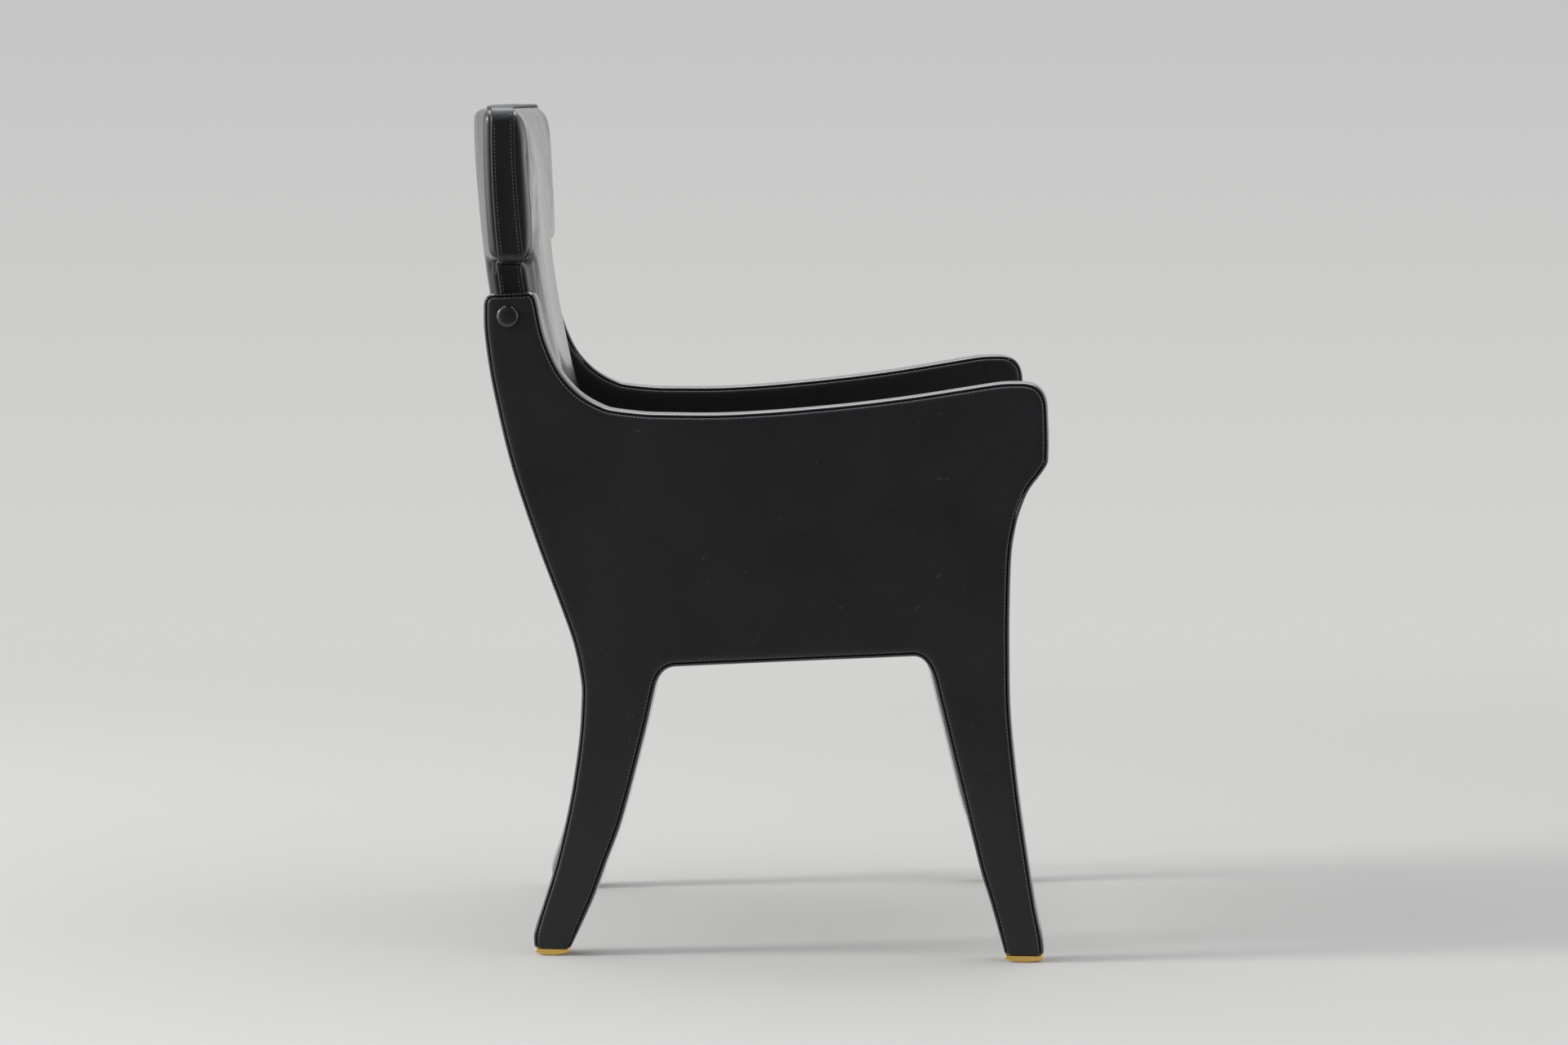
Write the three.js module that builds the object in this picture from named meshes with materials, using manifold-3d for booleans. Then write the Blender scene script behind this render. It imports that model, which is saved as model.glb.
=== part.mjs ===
// A leather-clad klismos armchair: two flat side panels that are arm, rear post and two sabre legs
// in one piece, a broad T-shaped back that curves round the sitter, and a seat hung between the sides.
// Millimetres, +Z up. The chair faces -Y, and the origin is on the floor under its middle.
import * as THREE from "three";
import { mergeVertices } from "three/addons/utils/BufferGeometryUtils.js";
import Module from "manifold-3d";

const wasm = await Module();
wasm.setup();

// Overall sizes
const postHeight = 771; // floor to the top of the rear posts
const panelDepth = 649; // rearmost to foremost point of a side panel
const panelThickness = 34;
const frontWidth = 606; // over both panels at the arm fronts
const rearWidth = 500; // over both panels at the rear posts
const crestGap = 31; // from the posts' tops up to the crest's underside
const crestDepth = 182; // from that underside to the top
const crestWidth = 640;

// Clearances
const clearance = 0.3; // between pieces that lie on each other
const boreClearance = 0.35; // round a bolt or screw in its hole
const overrun = 2; // how far a drill runs past the face it leaves

// Leather skins
const skinThickness = 2.5; // leather and its felt on the side panels
const boxingThickness = 5; // padded strip round a panel's edge
const edgeRound = 4; // rounding of that strip
const seamDrop = 1; // how far the strip dips to the seam
const coverThickness = 2; // leather on the back and seat
const borderThickness = 3; // leather strip round the back and the seat pad
const borderRound = 1;

// Feet
const footHeight = 7.4; // brass plate
const footEnd = 4.2; // brass plate where its belly has risen to the ends
const footInset = 1; // plate edge inside the leg's sole
const glideRadius = 9;
const glideThickness = 2.2;
const glideProud = 0.6; // how far the glide stands below the brass
const footPadHeight = 1; // raised pad on the plate, which leaves a shadow gap under the leg
const footPadInset = 4;
const footScrewRadius = 2.2;
const footScrewHeadRadius = 4.2;
const footScrewHeadHeight = 2.4;
const footScrewLength = 30;

// Fasteners
const buttonRadius = 12.75;
const buttonHeight = 5.2;
const buttonRim = 1.8;
const buttonDish = 0.8;
const buttonInset = 28; // bolt axis from the post's rear and top edges
const counterboreRadius = 6.8;
const counterboreDepth = 7;
const boltRadius = 3;
const boltHeadRadius = 6;
const boltHeadHeight = 4;
const boltReach = 16; // thread inside the back's core
const insertRadius = 5;
const insertLength = 20;
const backSpacerRadius = 9;
const dowelHeight = 470; // dowels that hold the back's lower end, above the floor
const dowelRadius = 5;
const dowelReach = 20; // into the panel and into the back
const seatBoltRadius = 4;
const seatBoltHeadRadius = 6.5;
const seatBoltHeadHeight = 5;
const seatBoltReach = 15; // thread inside the side panel
const seatInsertRadius = 6;
const seatInsertLength = 18;
const seatBoltInset = 20; // beyond the corner blocks

// Back
const backBottom = 404; // floor to the back's lower edge
const earRise = 5; // how far the crest's underside rises to its ends
const planRadius = 2970; // curve of the back as seen from above
const profileRadius = 1280; // curve of the back as seen from the side
const plumbHeight = 963; // where that curve stands upright
const coreLead = 6.5; // core's middle in front of the bolt that holds it
const backSideGap = 5; // between the back and each side panel
const coreThickness = 23;
const crestBulge = 22; // padding of the crest's front over its seams
const bodyBulge = 28.5; // the same below the crest
const bulgeBlend = 70; // height over which one becomes the other
const frontReach = 15; // from a seam to full padding
const crownReach = 62; // from the crest's upper and lower edges to its fullest part
const neckReach = 20; // how far inwards the ears' lower edges still draw the padding down
const rearBulge = 10.9;
const rearReach = 15;
const earTopRound = 20;
const earLowerRound = 12;
const neckRound = 10; // where an ear meets the back's side
const backLowerRound = 8;

// Seat
const seatFrontInset = 43; // behind the panels' foremost points, along the chair
const seatBackGap = 1.5; // between the seat and the back's fullest padding
const railHeight = 64;
const railTop = 430; // floor to the top of the seat frame
const railThickness = 24;
const cornerBlockSize = 46;
const cornerBlockRise = 8; // above the rails' undersides
const deckThickness = 9;
const padSeamHeight = 452; // floor to the seam round the seat's top
const seatBulge = 20;
const seatReach = 85;
const seatSideGap = 1.5; // between the seat and each side panel
const seatFrontRound = 26;
const seatRearRound = 16;
const cambricThickness = 1.2;
const cambricInset = 1.2;

// Zip pull that hangs from the rear seam under the right ear
const pullLength = 15;
const pullWidth = 5;
const pullWire = 0.7;

// Fineness of the solids
const chord = 46; // longest straight step on a curve
const rowStep = 66; // longest step between the rows of a curved pad
const cornerSteps = 3;
const padCornerSteps = 2;
const turnedSides = 12;
const buttonSides = 20;

// Outline of a side panel, anticlockwise from the rear sole. The first share is of the panel's depth,
// counted forward from its rearmost point, and the second of its height above the soles. Each run is
// a smooth curve, and a corner joins it to the next run.
const panelRunShares = {
  rearSole: [[0.103, 0], [0.133, 0]],
  rearLegFront: [[0.1535, 0.013], [0.186, 0.0725], [0.212, 0.134], [0.24, 0.2], [0.2785, 0.325], [0.2995, 0.4]],
  arch: [[0.337, 0.433], [0.55, 0.443], [0.763, 0.4525]],
  frontLegRear: [[0.8, 0.412], [0.824, 0.328], [0.86, 0.202], [0.882, 0.127], [0.9, 0.0765], [0.9215, 0.013]],
  frontSole: [[0.937, 0], [0.982, 0]],
  frontLegFront: [[0.9965, 0.0157], [0.98, 0.082], [0.958, 0.2], [0.9442, 0.29], [0.935, 0.375], [0.933, 0.46],
    [0.933, 0.53], [0.9355, 0.605], [0.9425, 0.648], [0.952, 0.6775], [0.9655, 0.705], [0.9855, 0.7285]],
  armFront: [[0.9995, 0.75], [1, 0.785], [0.998, 0.828]],
  armTop: [[0.95, 0.868], [0.9145, 0.8668], [0.8494, 0.858], [0.7624, 0.846], [0.6753, 0.836], [0.588, 0.828],
    [0.5, 0.8215], [0.413, 0.8175], [0.3256, 0.8175], [0.282, 0.8185], [0.2275, 0.8237], [0.2066, 0.8295],
    [0.1857, 0.8385], [0.1668, 0.8497], [0.1481, 0.8657], [0.1335, 0.8825], [0.121, 0.9037], [0.1108, 0.926],
    [0.1034, 0.948], [0.0965, 0.979]],
  postTop: [[0.081, 1], [0.0185, 0.9975]],
  postRear: [[0, 0.977], [0.001, 0.94], [0.0102, 0.88], [0.024, 0.821], [0.0403, 0.7615], [0.0606, 0.702],
    [0.0967, 0.613], [0.136, 0.5235], [0.1595, 0.464], [0.1715, 0.41], [0.1724, 0.374], [0.1675, 0.314],
    [0.1515, 0.224], [0.1267, 0.133], [0.1053, 0.0727], [0.0865, 0.0157]],
};
const buttonDomeShares = [0.94, 0.76, 0.5];
const seamRoundShare = 0.3; // how far a seam's rounding reaches in, as a share of its drop
const columnShares = [-1, -0.95, -0.82, -0.5, 0, 0.5, 0.82, 0.95, 1];

// Sizes that follow
const halfTurn = Math.PI;
const soleHeight = footHeight + glideProud + footPadHeight + clearance;
const panelHeight = postHeight - soleHeight;
const toeAngle = Math.asin((frontWidth - rearWidth) / 2 / panelDepth);
const halfPanel = panelThickness / 2;
const halfCore = halfPanel - skinThickness - clearance;
const skinInset = boxingThickness + clearance;
const backHalfCore = coreThickness / 2;
const backBorder = borderThickness + clearance;
const seatBorder = borderThickness + clearance;
const railBottom = railTop - railHeight;
const boltHeight = postHeight - buttonInset;
const seatBack = backFace(backBottom + frontReach / 2) + seatBackGap;
const padBack = backFace(railTop) + seatBackGap;
const seatFront = panelDepth * Math.cos(toeAngle) - seatFrontInset;
const rearRailTo = seatBack + railThickness;
const frontRailTo = seatFront - borderThickness - clearance;
const frontRailFrom = frontRailTo - railThickness;
const earBottom = postHeight + crestGap;
const backHeight = earBottom + crestDepth;

// Half the clear width between the panels, at a place counted forward from the posts' rear edges
function innerHalfWidth(forward) {
  return rearWidth / 2 - panelThickness / Math.cos(toeAngle) + forward * Math.tan(toeAngle);
}

// How far forward the back's fullest padding comes at its sides, at one height
function backFace(height) {
  return backMiddle(rearWidth / 2 - panelThickness, height)
    + backHalfCore + clearance + coverThickness + bodyBulge;
}

// Materials
const finishes = {
  leather: { color: 0x232325, roughness: 0.48, metalness: 0 },
  glossLeather: { color: 0x1f1f21, roughness: 0.3, metalness: 0 },
  plywood: { color: 0xc9a878, roughness: 0.7, metalness: 0 },
  beech: { color: 0xc79a6b, roughness: 0.65, metalness: 0 },
  foam: { color: 0xd9d2bd, roughness: 0.95, metalness: 0 },
  felt: { color: 0x3a3a3a, roughness: 0.95, metalness: 0 },
  cambric: { color: 0x151515, roughness: 0.95, metalness: 0 },
  brass: { color: 0xb8923a, roughness: 0.32, metalness: 1 },
  steel: { color: 0x9a9ca0, roughness: 0.35, metalness: 1 },
  nylon: { color: 0x2a2a2a, roughness: 0.6, metalness: 0 },
  button: { color: 0x18181a, roughness: 0.34, metalness: 0 },
};

function piece(name, geometry, finish) {
  const mesh = new THREE.Mesh(geometry, new THREE.MeshStandardMaterial(finishes[finish]));
  mesh.name = name;
  return mesh;
}

// Joining and cutting
function toSolid(geometry) {
  const bare = geometry.clone();
  bare.deleteAttribute("normal");
  bare.deleteAttribute("uv");
  const merged = mergeVertices(bare);
  const mesh = new wasm.Mesh({
    numProp: 3,
    vertProperties: merged.attributes.position.array,
    triVerts: new Uint32Array(merged.index.array),
  });
  return new wasm.Manifold(mesh);
}

function toGeometry(solid) {
  const mesh = solid.getMesh();
  const result = new THREE.BufferGeometry();
  result.setAttribute("position", new THREE.BufferAttribute(mesh.vertProperties, mesh.numProp));
  result.setIndex(new THREE.BufferAttribute(mesh.triVerts, 1));
  return result;
}

function cut(geometry, ...tools) {
  return toGeometry(tools.reduce((solid, tool) => solid.subtract(toSolid(tool)), toSolid(geometry)));
}

function join(first, second) {
  return toGeometry(toSolid(first).add(toSolid(second)));
}

// A closed surface from points and triangles, turned so that its faces point out
function closedGeometry(points, triangles) {
  const cross = new THREE.Vector3();
  let volume = 0;
  for (const [a, b, c] of triangles) volume += cross.crossVectors(points[b], points[c]).dot(points[a]);
  const turned = volume < 0 ? triangles.map(([a, b, c]) => [a, c, b]) : triangles;
  return new THREE.BufferGeometry().setFromPoints(points).setIndex(turned.flat());
}

function quad(a, b, c, d) {
  return [[a, b, c], [a, c, d]];
}

// A rod along +Z, and a turned piece round +Z from its half section
function rod(radius, from, to, sides = turnedSides) {
  return new THREE.CylinderGeometry(radius, radius, to - from, sides)
    .rotateX(halfTurn / 2)
    .translate(0, 0, (from + to) / 2);
}

function turned(section, sides = turnedSides) {
  const profile = section.map(([radius, along]) => new THREE.Vector2(radius, along));
  return new THREE.LatheGeometry(profile, sides).rotateX(halfTurn / 2);
}

// Where two straight lines meet, each given by a point and a direction
function meeting(p, u, q, v) {
  const t = (q.clone().sub(p)).cross(v) / u.cross(v);
  return p.clone().addScaledVector(u, t);
}

// Runs of points as smooth curves with a rounded corner between each and the next
function joinRuns(runs, step, steps, closed) {
  const curves = runs.map((run) => (run.length > 2
    ? new THREE.SplineCurve(run) : new THREE.LineCurve(run[0], run[1])));
  const outline = [];
  curves.forEach((curve, i) => {
    const straight = runs[i].length === 2;
    const pieces = straight ? 1 : Math.ceil(curve.getLength() / step);
    outline.push(...curve.getSpacedPoints(pieces));
    if (i === curves.length - 1 && !closed) return;
    const next = curves[(i + 1) % curves.length];
    const from = curve.getPoint(1);
    const to = next.getPoint(0);
    const corner = meeting(from, curve.getTangent(1), to, next.getTangent(0));
    const bend = new THREE.QuadraticBezierCurve(from, corner, to);
    outline.push(...bend.getPoints(steps).slice(1, -1));
  });
  return outline;
}

// A closed loop moved inwards, or outwards where the distance is negative
function insetLoop(loop, distance) {
  return loop.map((point, i) => {
    const before = loop[(i + loop.length - 1) % loop.length];
    const after = loop[(i + 1) % loop.length];
    const arriving = point.clone().sub(before).normalize();
    const leaving = after.clone().sub(point).normalize();
    const along = arriving.clone().add(leaving).normalize();
    const stretch = along.dot(leaving);
    return new THREE.Vector2(-along.y, along.x).multiplyScalar(distance / stretch).add(point);
  });
}

// A band round a loop: its section is a closed list of inset and height
function ringBand(loop, section, place = (x, y, h) => new THREE.Vector3(x, y, h)) {
  const points = section.flatMap(([inset, height]) => insetLoop(loop, inset)
    .map((p) => place(p.x, p.y, height)));
  const count = loop.length;
  const triangles = [];
  for (let s = 0; s < section.length; s += 1) {
    const here = s * count;
    const above = ((s + 1) % section.length) * count;
    for (let i = 0; i < count; i += 1) {
      const j = (i + 1) % count;
      triangles.push(...quad(here + i, here + j, above + j, above + i));
    }
  }
  return closedGeometry(points, triangles);
}

function plate(loop, from, to) {
  return new THREE.ExtrudeGeometry(new THREE.Shape(loop), { depth: to - from, bevelEnabled: false })
    .translate(0, 0, from);
}

// A pad over a grid: each row has a half width and a place, and place() sets a point with its lift
function padSolid(rows, shares, place, top, bottom) {
  const wide = shares.length;
  const points = [top, bottom].flatMap((height) => rows.flatMap((row) => shares.map((share) => {
    const across = row.half * share;
    return place(across, row.at, height(across, row.at));
  })));
  const layer = rows.length * wide;
  const triangles = [];
  for (let r = 0; r < rows.length - 1; r += 1) {
    for (let c = 0; c < wide - 1; c += 1) {
      const a = r * wide + c;
      triangles.push(...quad(a, a + 1, a + wide + 1, a + wide));
      triangles.push(...quad(layer + a, layer + a + wide, layer + a + wide + 1, layer + a + 1));
    }
    const left = r * wide;
    const right = left + wide - 1;
    triangles.push(...quad(left, left + wide, layer + left + wide, layer + left));
    triangles.push(...quad(right, layer + right, layer + right + wide, right + wide));
  }
  const last = (rows.length - 1) * wide;
  for (let c = 0; c < wide - 1; c += 1) {
    triangles.push(...quad(c, layer + c, layer + c + 1, c + 1));
    triangles.push(...quad(last + c, last + c + 1, layer + last + c + 1, layer + last + c));
  }
  return closedGeometry(points, triangles);
}

// The loop round such a grid, anticlockwise
function gridLoop(rows, shares) {
  const first = rows[0];
  const last = rows[rows.length - 1];
  const inner = shares.slice(1, -1);
  return [
    ...rows.map((row) => new THREE.Vector2(row.half, row.at)),
    ...inner.toReversed().map((share) => new THREE.Vector2(last.half * share, last.at)),
    ...rows.toReversed().map((row) => new THREE.Vector2(-row.half, row.at)),
    ...inner.map((share) => new THREE.Vector2(first.half * share, first.at)),
  ];
}

function distanceToLoop(loop, x, y) {
  const point = new THREE.Vector2(x, y);
  const nearest = new THREE.Vector3();
  const line = new THREE.Line3();
  let least = Infinity;
  loop.forEach((start, i) => {
    const end = loop[(i + 1) % loop.length];
    line.start.set(start.x, start.y, 0);
    line.end.set(end.x, end.y, 0);
    line.closestPointToPoint(new THREE.Vector3(x, y, 0), true, nearest);
    least = Math.min(least, point.distanceTo(nearest));
  });
  return least;
}

// Share of its full bulge that padding has reached, from nothing at the seam to all over its reach
function swell(loop, reach) {
  return (x, y) => {
    const share = Math.min(distanceToLoop(loop, x, y) / reach, 1);
    return Math.sqrt(1 - (1 - share) ** 2);
  };
}

// The same share for the crest's own crown, which falls to its top and to the ears' undersides
function crestCrown(across, height) {
  const inwards = Math.max(backHalfWidth(earBottom) - Math.abs(across), 0);
  const overEars = (height - earBottom - backBorder) / crownReach;
  const underTop = (backHeight - backBorder - height) / crownReach;
  const share = Math.min(Math.hypot(inwards / neckReach, overEars), Math.max(underTop, 0), 1);
  return Math.sqrt(1 - (1 - share) ** 2);
}

// Rows of a pad from its right-hand edge, with more of them where two are far apart
function rowsFrom(edge) {
  return edge.flatMap((point, i) => {
    const before = edge[Math.max(i - 1, 0)];
    const pieces = Math.max(Math.ceil((point.y - before.y) / rowStep), 1);
    return Array.from({ length: i === 0 ? 1 : pieces }, (_, k) => {
      const here = before.clone().lerp(point, i === 0 ? 1 : (k + 1) / pieces);
      return { half: here.x, at: here.y };
    });
  });
}

// A leather strip round a pad, between two heights over the pad's own loop
function borderBand(loop, low, high, place) {
  const outer = -clearance - borderThickness;
  return ringBand(loop, [
    [-clearance, high],
    [outer + borderRound, high],
    [outer, high - borderRound],
    [outer, low + borderRound],
    [outer + borderRound, low],
    [-clearance, low],
  ], place);
}

// Back: a slab curved in plan and in profile, wider above the posts
function sagitta(radius, offset) {
  return radius - Math.sqrt(radius ** 2 - offset ** 2);
}

// How far the core's middle lies in front of the posts' rear edges
function backMiddle(across, height) {
  const inProfile = sagitta(profileRadius, plumbHeight - height)
    - sagitta(profileRadius, plumbHeight - boltHeight);
  const inPlan = sagitta(planRadius, across) - sagitta(planRadius, rearWidth / 2 - panelThickness);
  return buttonInset + coreLead + inProfile + inPlan;
}

function onBack(across, height, behind) {
  return new THREE.Vector3(across, behind - backMiddle(across, height), height);
}

function backHalfWidth(height) {
  const forward = backMiddle(rearWidth / 2 - panelThickness, height);
  return innerHalfWidth(forward) - backSideGap - backBorder;
}

function backRows() {
  const low = backBottom + backBorder;
  const high = backHeight - backBorder;
  const underEar = earBottom + backBorder;
  const ear = crestWidth / 2 - backBorder;
  const start = low + backLowerRound;
  const end = underEar - neckRound;
  const side = [start, (start + end) / 2, end].map((height) => (
    new THREE.Vector2(backHalfWidth(height), height)));
  const runs = [
    [new THREE.Vector2(0, low), new THREE.Vector2(side[0].x - backLowerRound, low)],
    side,
    [
      new THREE.Vector2(side[2].x + neckRound, underEar),
      new THREE.Vector2(ear - earLowerRound, underEar + earRise),
    ],
    [
      new THREE.Vector2(ear, underEar + earRise + earLowerRound),
      new THREE.Vector2(ear, high - earTopRound),
    ],
    [new THREE.Vector2(ear - earTopRound, high), new THREE.Vector2(0, high)],
  ];
  return rowsFrom(joinRuns(runs, rowStep, padCornerSteps, false).slice(1, -1));
}

// holes gives the bores for the inserts, the bolts and the dowels
function back(holes) {
  const rows = backRows();
  const loop = gridLoop(rows, columnShares);
  const innerRows = rows.slice(1, -1);
  const innerShares = columnShares.slice(1, -1);
  const frontShare = swell(loop, frontReach);
  const rearShare = swell(loop, rearReach);
  const crestFrom = earBottom - bulgeBlend;
  const frontLift = (x, y) => frontShare(x, y) * crestCrown(x, y) * THREE.MathUtils.lerp(
    bodyBulge,
    crestBulge,
    THREE.MathUtils.smoothstep(y, crestFrom, earBottom),
  );
  const rearLift = (x, y) => rearBulge * rearShare(x, y);
  const under = backHalfCore + clearance;
  const seam = under + coverThickness;
  const core = padSolid(rows, columnShares, onBack, () => backHalfCore, () => -backHalfCore);
  const foam = padSolid(
    innerRows,
    innerShares,
    onBack,
    () => -under,
    (x, y) => -backHalfCore - frontLift(x, y),
  );
  const frontCover = padSolid(
    rows,
    columnShares,
    onBack,
    (x, y) => -under - frontLift(x, y),
    (x, y) => -seam - frontLift(x, y),
  );
  const felt = padSolid(
    innerRows,
    innerShares,
    onBack,
    (x, y) => backHalfCore + rearLift(x, y),
    () => under,
  );
  const rearCover = padSolid(
    rows,
    columnShares,
    onBack,
    (x, y) => seam + rearLift(x, y),
    (x, y) => under + rearLift(x, y),
  );
  const border = borderBand(loop, -seam, seam, onBack);
  return [
    piece("back_core", cut(core, ...holes.inserts, ...holes.dowels), "plywood"),
    piece("back_foam", foam, "foam"),
    piece("back_front_cover", frontCover, "glossLeather"),
    piece("back_felt", felt, "felt"),
    piece("back_rear_cover", rearCover, "glossLeather"),
    piece("back_border", cut(border, ...holes.bolts, ...holes.dowels), "leather"),
  ];
}

// A wire loop in the plane of the chair's side, hung under the ear's rear seam
function zipPull() {
  const ring = new THREE.TorusGeometry(pullWidth / 2 - pullWire, pullWire, turnedSides / 2, turnedSides)
    .rotateY(halfTurn / 2)
    .rotateX(halfTurn)
    .scale(1, 1, pullLength / pullWidth);
  const across = earLowerRound + backBorder - crestWidth / 2;
  const middle = earBottom + earRise - clearance - pullLength / 2;
  const place = onBack(across, middle + pullLength / 2, backHalfCore);
  return piece("back_zip_pull", ring.translate(place.x, place.y, middle), "steel");
}

// Side panel, in its own frame: X forward from the rearmost point, Y up from the soles, Z across
const placeRun = (run) => run.map(([forward, up]) => (
  new THREE.Vector2(forward * panelDepth, up * panelHeight)));
const panelOutline = joinRuns(Object.values(panelRunShares).map(placeRun), chord, cornerSteps, true);

const upperBolt = new THREE.Vector2(buttonInset, boltHeight - soleHeight);

// The dowel is centred in the core's thickness halfway along its reach into the back
function dowelForward() {
  const depth = halfPanel + backSideGap + backBorder + dowelReach / 2;
  const forward = backMiddle(backHalfWidth(dowelHeight) - dowelReach / 2, dowelHeight);
  return (forward - depth * Math.sin(toeAngle)) / Math.cos(toeAngle);
}
const dowel = new THREE.Vector2(dowelForward(), dowelHeight - soleHeight);
const railMiddle = railTop - railHeight / 2 - soleHeight;
const seatBoltPlace = cornerBlockSize + seatBoltInset;
const alongPanel = (forward) => new THREE.Vector2(forward / Math.cos(toeAngle), railMiddle);
const seatBolts = {
  rear: alongPanel(rearRailTo + seatBoltPlace),
  front: alongPanel(frontRailFrom - seatBoltPlace),
};

// Each sole's middle, and its length between the leg's two edges
function soleBetween(edgeBefore, sole, edgeAfter) {
  const [from, to] = placeRun(sole);
  const before = placeRun(edgeBefore).at(-1);
  const after = placeRun(edgeAfter)[0];
  return { middle: (from.x + to.x) / 2, length: after.x - before.x };
}
const { rearSole, rearLegFront, frontLegRear, frontSole, frontLegFront, postRear } = panelRunShares;
const soles = {
  rear: soleBetween(postRear, rearSole, rearLegFront),
  front: soleBetween(frontLegRear, frontSole, frontLegFront),
};

function panelFrame(side) {
  const standing = new THREE.Matrix4().makeBasis(
    new THREE.Vector3(0, -1, 0),
    new THREE.Vector3(0, 0, 1),
    new THREE.Vector3(-1, 0, 0),
  );
  const across = side * (rearWidth / 2 - halfPanel / Math.cos(toeAngle));
  return new THREE.Matrix4()
    .makeTranslation(across, 0, soleHeight)
    .multiply(new THREE.Matrix4().makeRotationZ(side * toeAngle))
    .multiply(standing);
}

// A rod square to the panel at one of its points, between two distances from its middle plane
function crossRod(point, radius, from, to) {
  return rod(radius, Math.min(from, to), Math.max(from, to)).translate(point.x, point.y, 0);
}

// A turned piece square to the panel, its start at one distance and its far end towards +Z or -Z
function aim(geometry, point, start, direction) {
  const facing = direction > 0 ? geometry : geometry.rotateX(halfTurn);
  return facing.translate(point.x, point.y, start);
}

// A rod along the panel's height
function standingRod(place, radius, from, to) {
  return new THREE.CylinderGeometry(radius, radius, to - from, turnedSides)
    .translate(place, (from + to) / 2, 0);
}

function boxing() {
  const section = [
    [boxingThickness, halfPanel - seamDrop],
    [seamRoundShare * edgeRound, halfPanel],
    [0, halfPanel - edgeRound],
    [0, edgeRound - halfPanel],
    [seamRoundShare * edgeRound, -halfPanel],
    [boxingThickness, seamDrop - halfPanel],
  ];
  return ringBand(panelOutline, section);
}

// out is 1 where the panel's +Z faces outwards and -1 where it faces the sitter
function sidePanel(label, out) {
  const skin = insetLoop(panelOutline, skinInset);
  const core = plate(skin, -halfCore, halfCore);
  const faceUnder = halfPanel - skinThickness;
  const outerCover = out > 0 ? plate(skin, faceUnder, halfPanel) : plate(skin, -halfPanel, -faceUnder);
  const innerCover = out > 0 ? plate(skin, -halfPanel, -faceUnder) : plate(skin, faceUnder, halfPanel);
  const beyond = -out * (halfPanel + overrun);
  const seatBoltPoints = Object.values(seatBolts);
  const pockets = seatBoltPoints.map((point) => crossRod(
    point,
    seatInsertRadius + boreClearance,
    beyond,
    -out * (halfCore - seatInsertLength - 2 * clearance),
  ));
  const dowelHole = crossRod(dowel, dowelRadius + boreClearance, beyond, -out * (halfPanel - dowelReach - clearance));
  const counterbore = crossRod(
    upperBolt,
    counterboreRadius,
    out * (halfPanel - counterboreDepth),
    out * (halfPanel + overrun),
  );
  const boltHole = crossRod(upperBolt, boltRadius + boreClearance, -halfPanel - overrun, halfPanel + overrun);
  const seatHoles = seatBoltPoints.map((point) => (
    crossRod(point, seatBoltRadius + boreClearance, beyond, 0)));
  const screwHoles = Object.values(soles).map((sole) => (
    standingRod(sole.middle, footScrewRadius + boreClearance, -overrun, footScrewLength)));
  return [
    piece(`side_core_${label}`, cut(core, boltHole, counterbore, dowelHole, ...pockets, ...screwHoles), "plywood"),
    piece(`side_outer_cover_${label}`, cut(outerCover, counterbore), "leather"),
    piece(`side_inner_cover_${label}`, cut(innerCover, boltHole, dowelHole, ...seatHoles), "leather"),
    piece(`side_boxing_${label}`, cut(boxing(), ...screwHoles), "leather"),
  ];
}

// One foot: a bellied brass plate with a raised pad, a glide let into it and the screw through them
function foot(label, sole) {
  const half = sole.length / 2 - footInset;
  const wide = halfPanel - footInset;
  const top = -clearance - footPadHeight;
  const low = top - footHeight;
  const ends = top - footEnd;
  const belly = new THREE.QuadraticBezierCurve(
    new THREE.Vector2(-half, ends),
    new THREE.Vector2(0, 2 * low - ends),
    new THREE.Vector2(half, ends),
  );
  const profile = [
    new THREE.Vector2(half, top),
    new THREE.Vector2(-half, top),
    ...belly.getPoints(2 * cornerSteps),
  ];
  const bottom = low - glideProud;
  const glideTop = bottom + glideThickness;
  const headStart = glideTop + clearance;
  const headTop = headStart + footScrewHeadHeight;
  const tip = footScrewLength - overrun;
  const pad = new THREE.BoxGeometry(
    2 * (half - footPadInset),
    2 * footPadHeight,
    2 * (wide - footPadInset),
  ).translate(0, top, 0);
  const brass = join(plate(profile, -wide, wide), pad).translate(sole.middle, 0, 0);
  const screw = turned([
    [0, headStart],
    [footScrewHeadRadius, headStart],
    [footScrewRadius, headTop],
    [footScrewRadius, tip - 2 * footScrewRadius],
    [0, tip],
  ]).rotateX(-halfTurn / 2).translate(sole.middle, 0, 0);
  const hole = standingRod(sole.middle, footScrewRadius + boreClearance, low - overrun, footScrewLength);
  const sink = standingRod(
    sole.middle,
    footScrewHeadRadius + boreClearance,
    low - overrun,
    headTop + clearance,
  );
  const pocket = standingRod(sole.middle, glideRadius + clearance, low - overrun, glideTop);
  const glide = standingRod(sole.middle, glideRadius, bottom, glideTop - clearance);
  return [
    piece(`foot_plate_${label}`, cut(brass, hole, sink, pocket), "brass"),
    piece(`foot_glide_${label}`, glide, "nylon"),
    piece(`foot_screw_${label}`, screw, "steel"),
  ];
}

// A bolt along +Z with its head at the start, and a sleeve along +Z
function headedBolt(radius, headRadius, headHeight, length) {
  return turned([
    [0, 0],
    [headRadius, 0],
    [headRadius, headHeight],
    [radius, headHeight],
    [radius, headHeight + length],
    [0, headHeight + length],
  ]);
}

function sleeve(outer, inner, length) {
  return cut(rod(outer, 0, length), rod(inner, -overrun, length + overrun));
}

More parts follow.
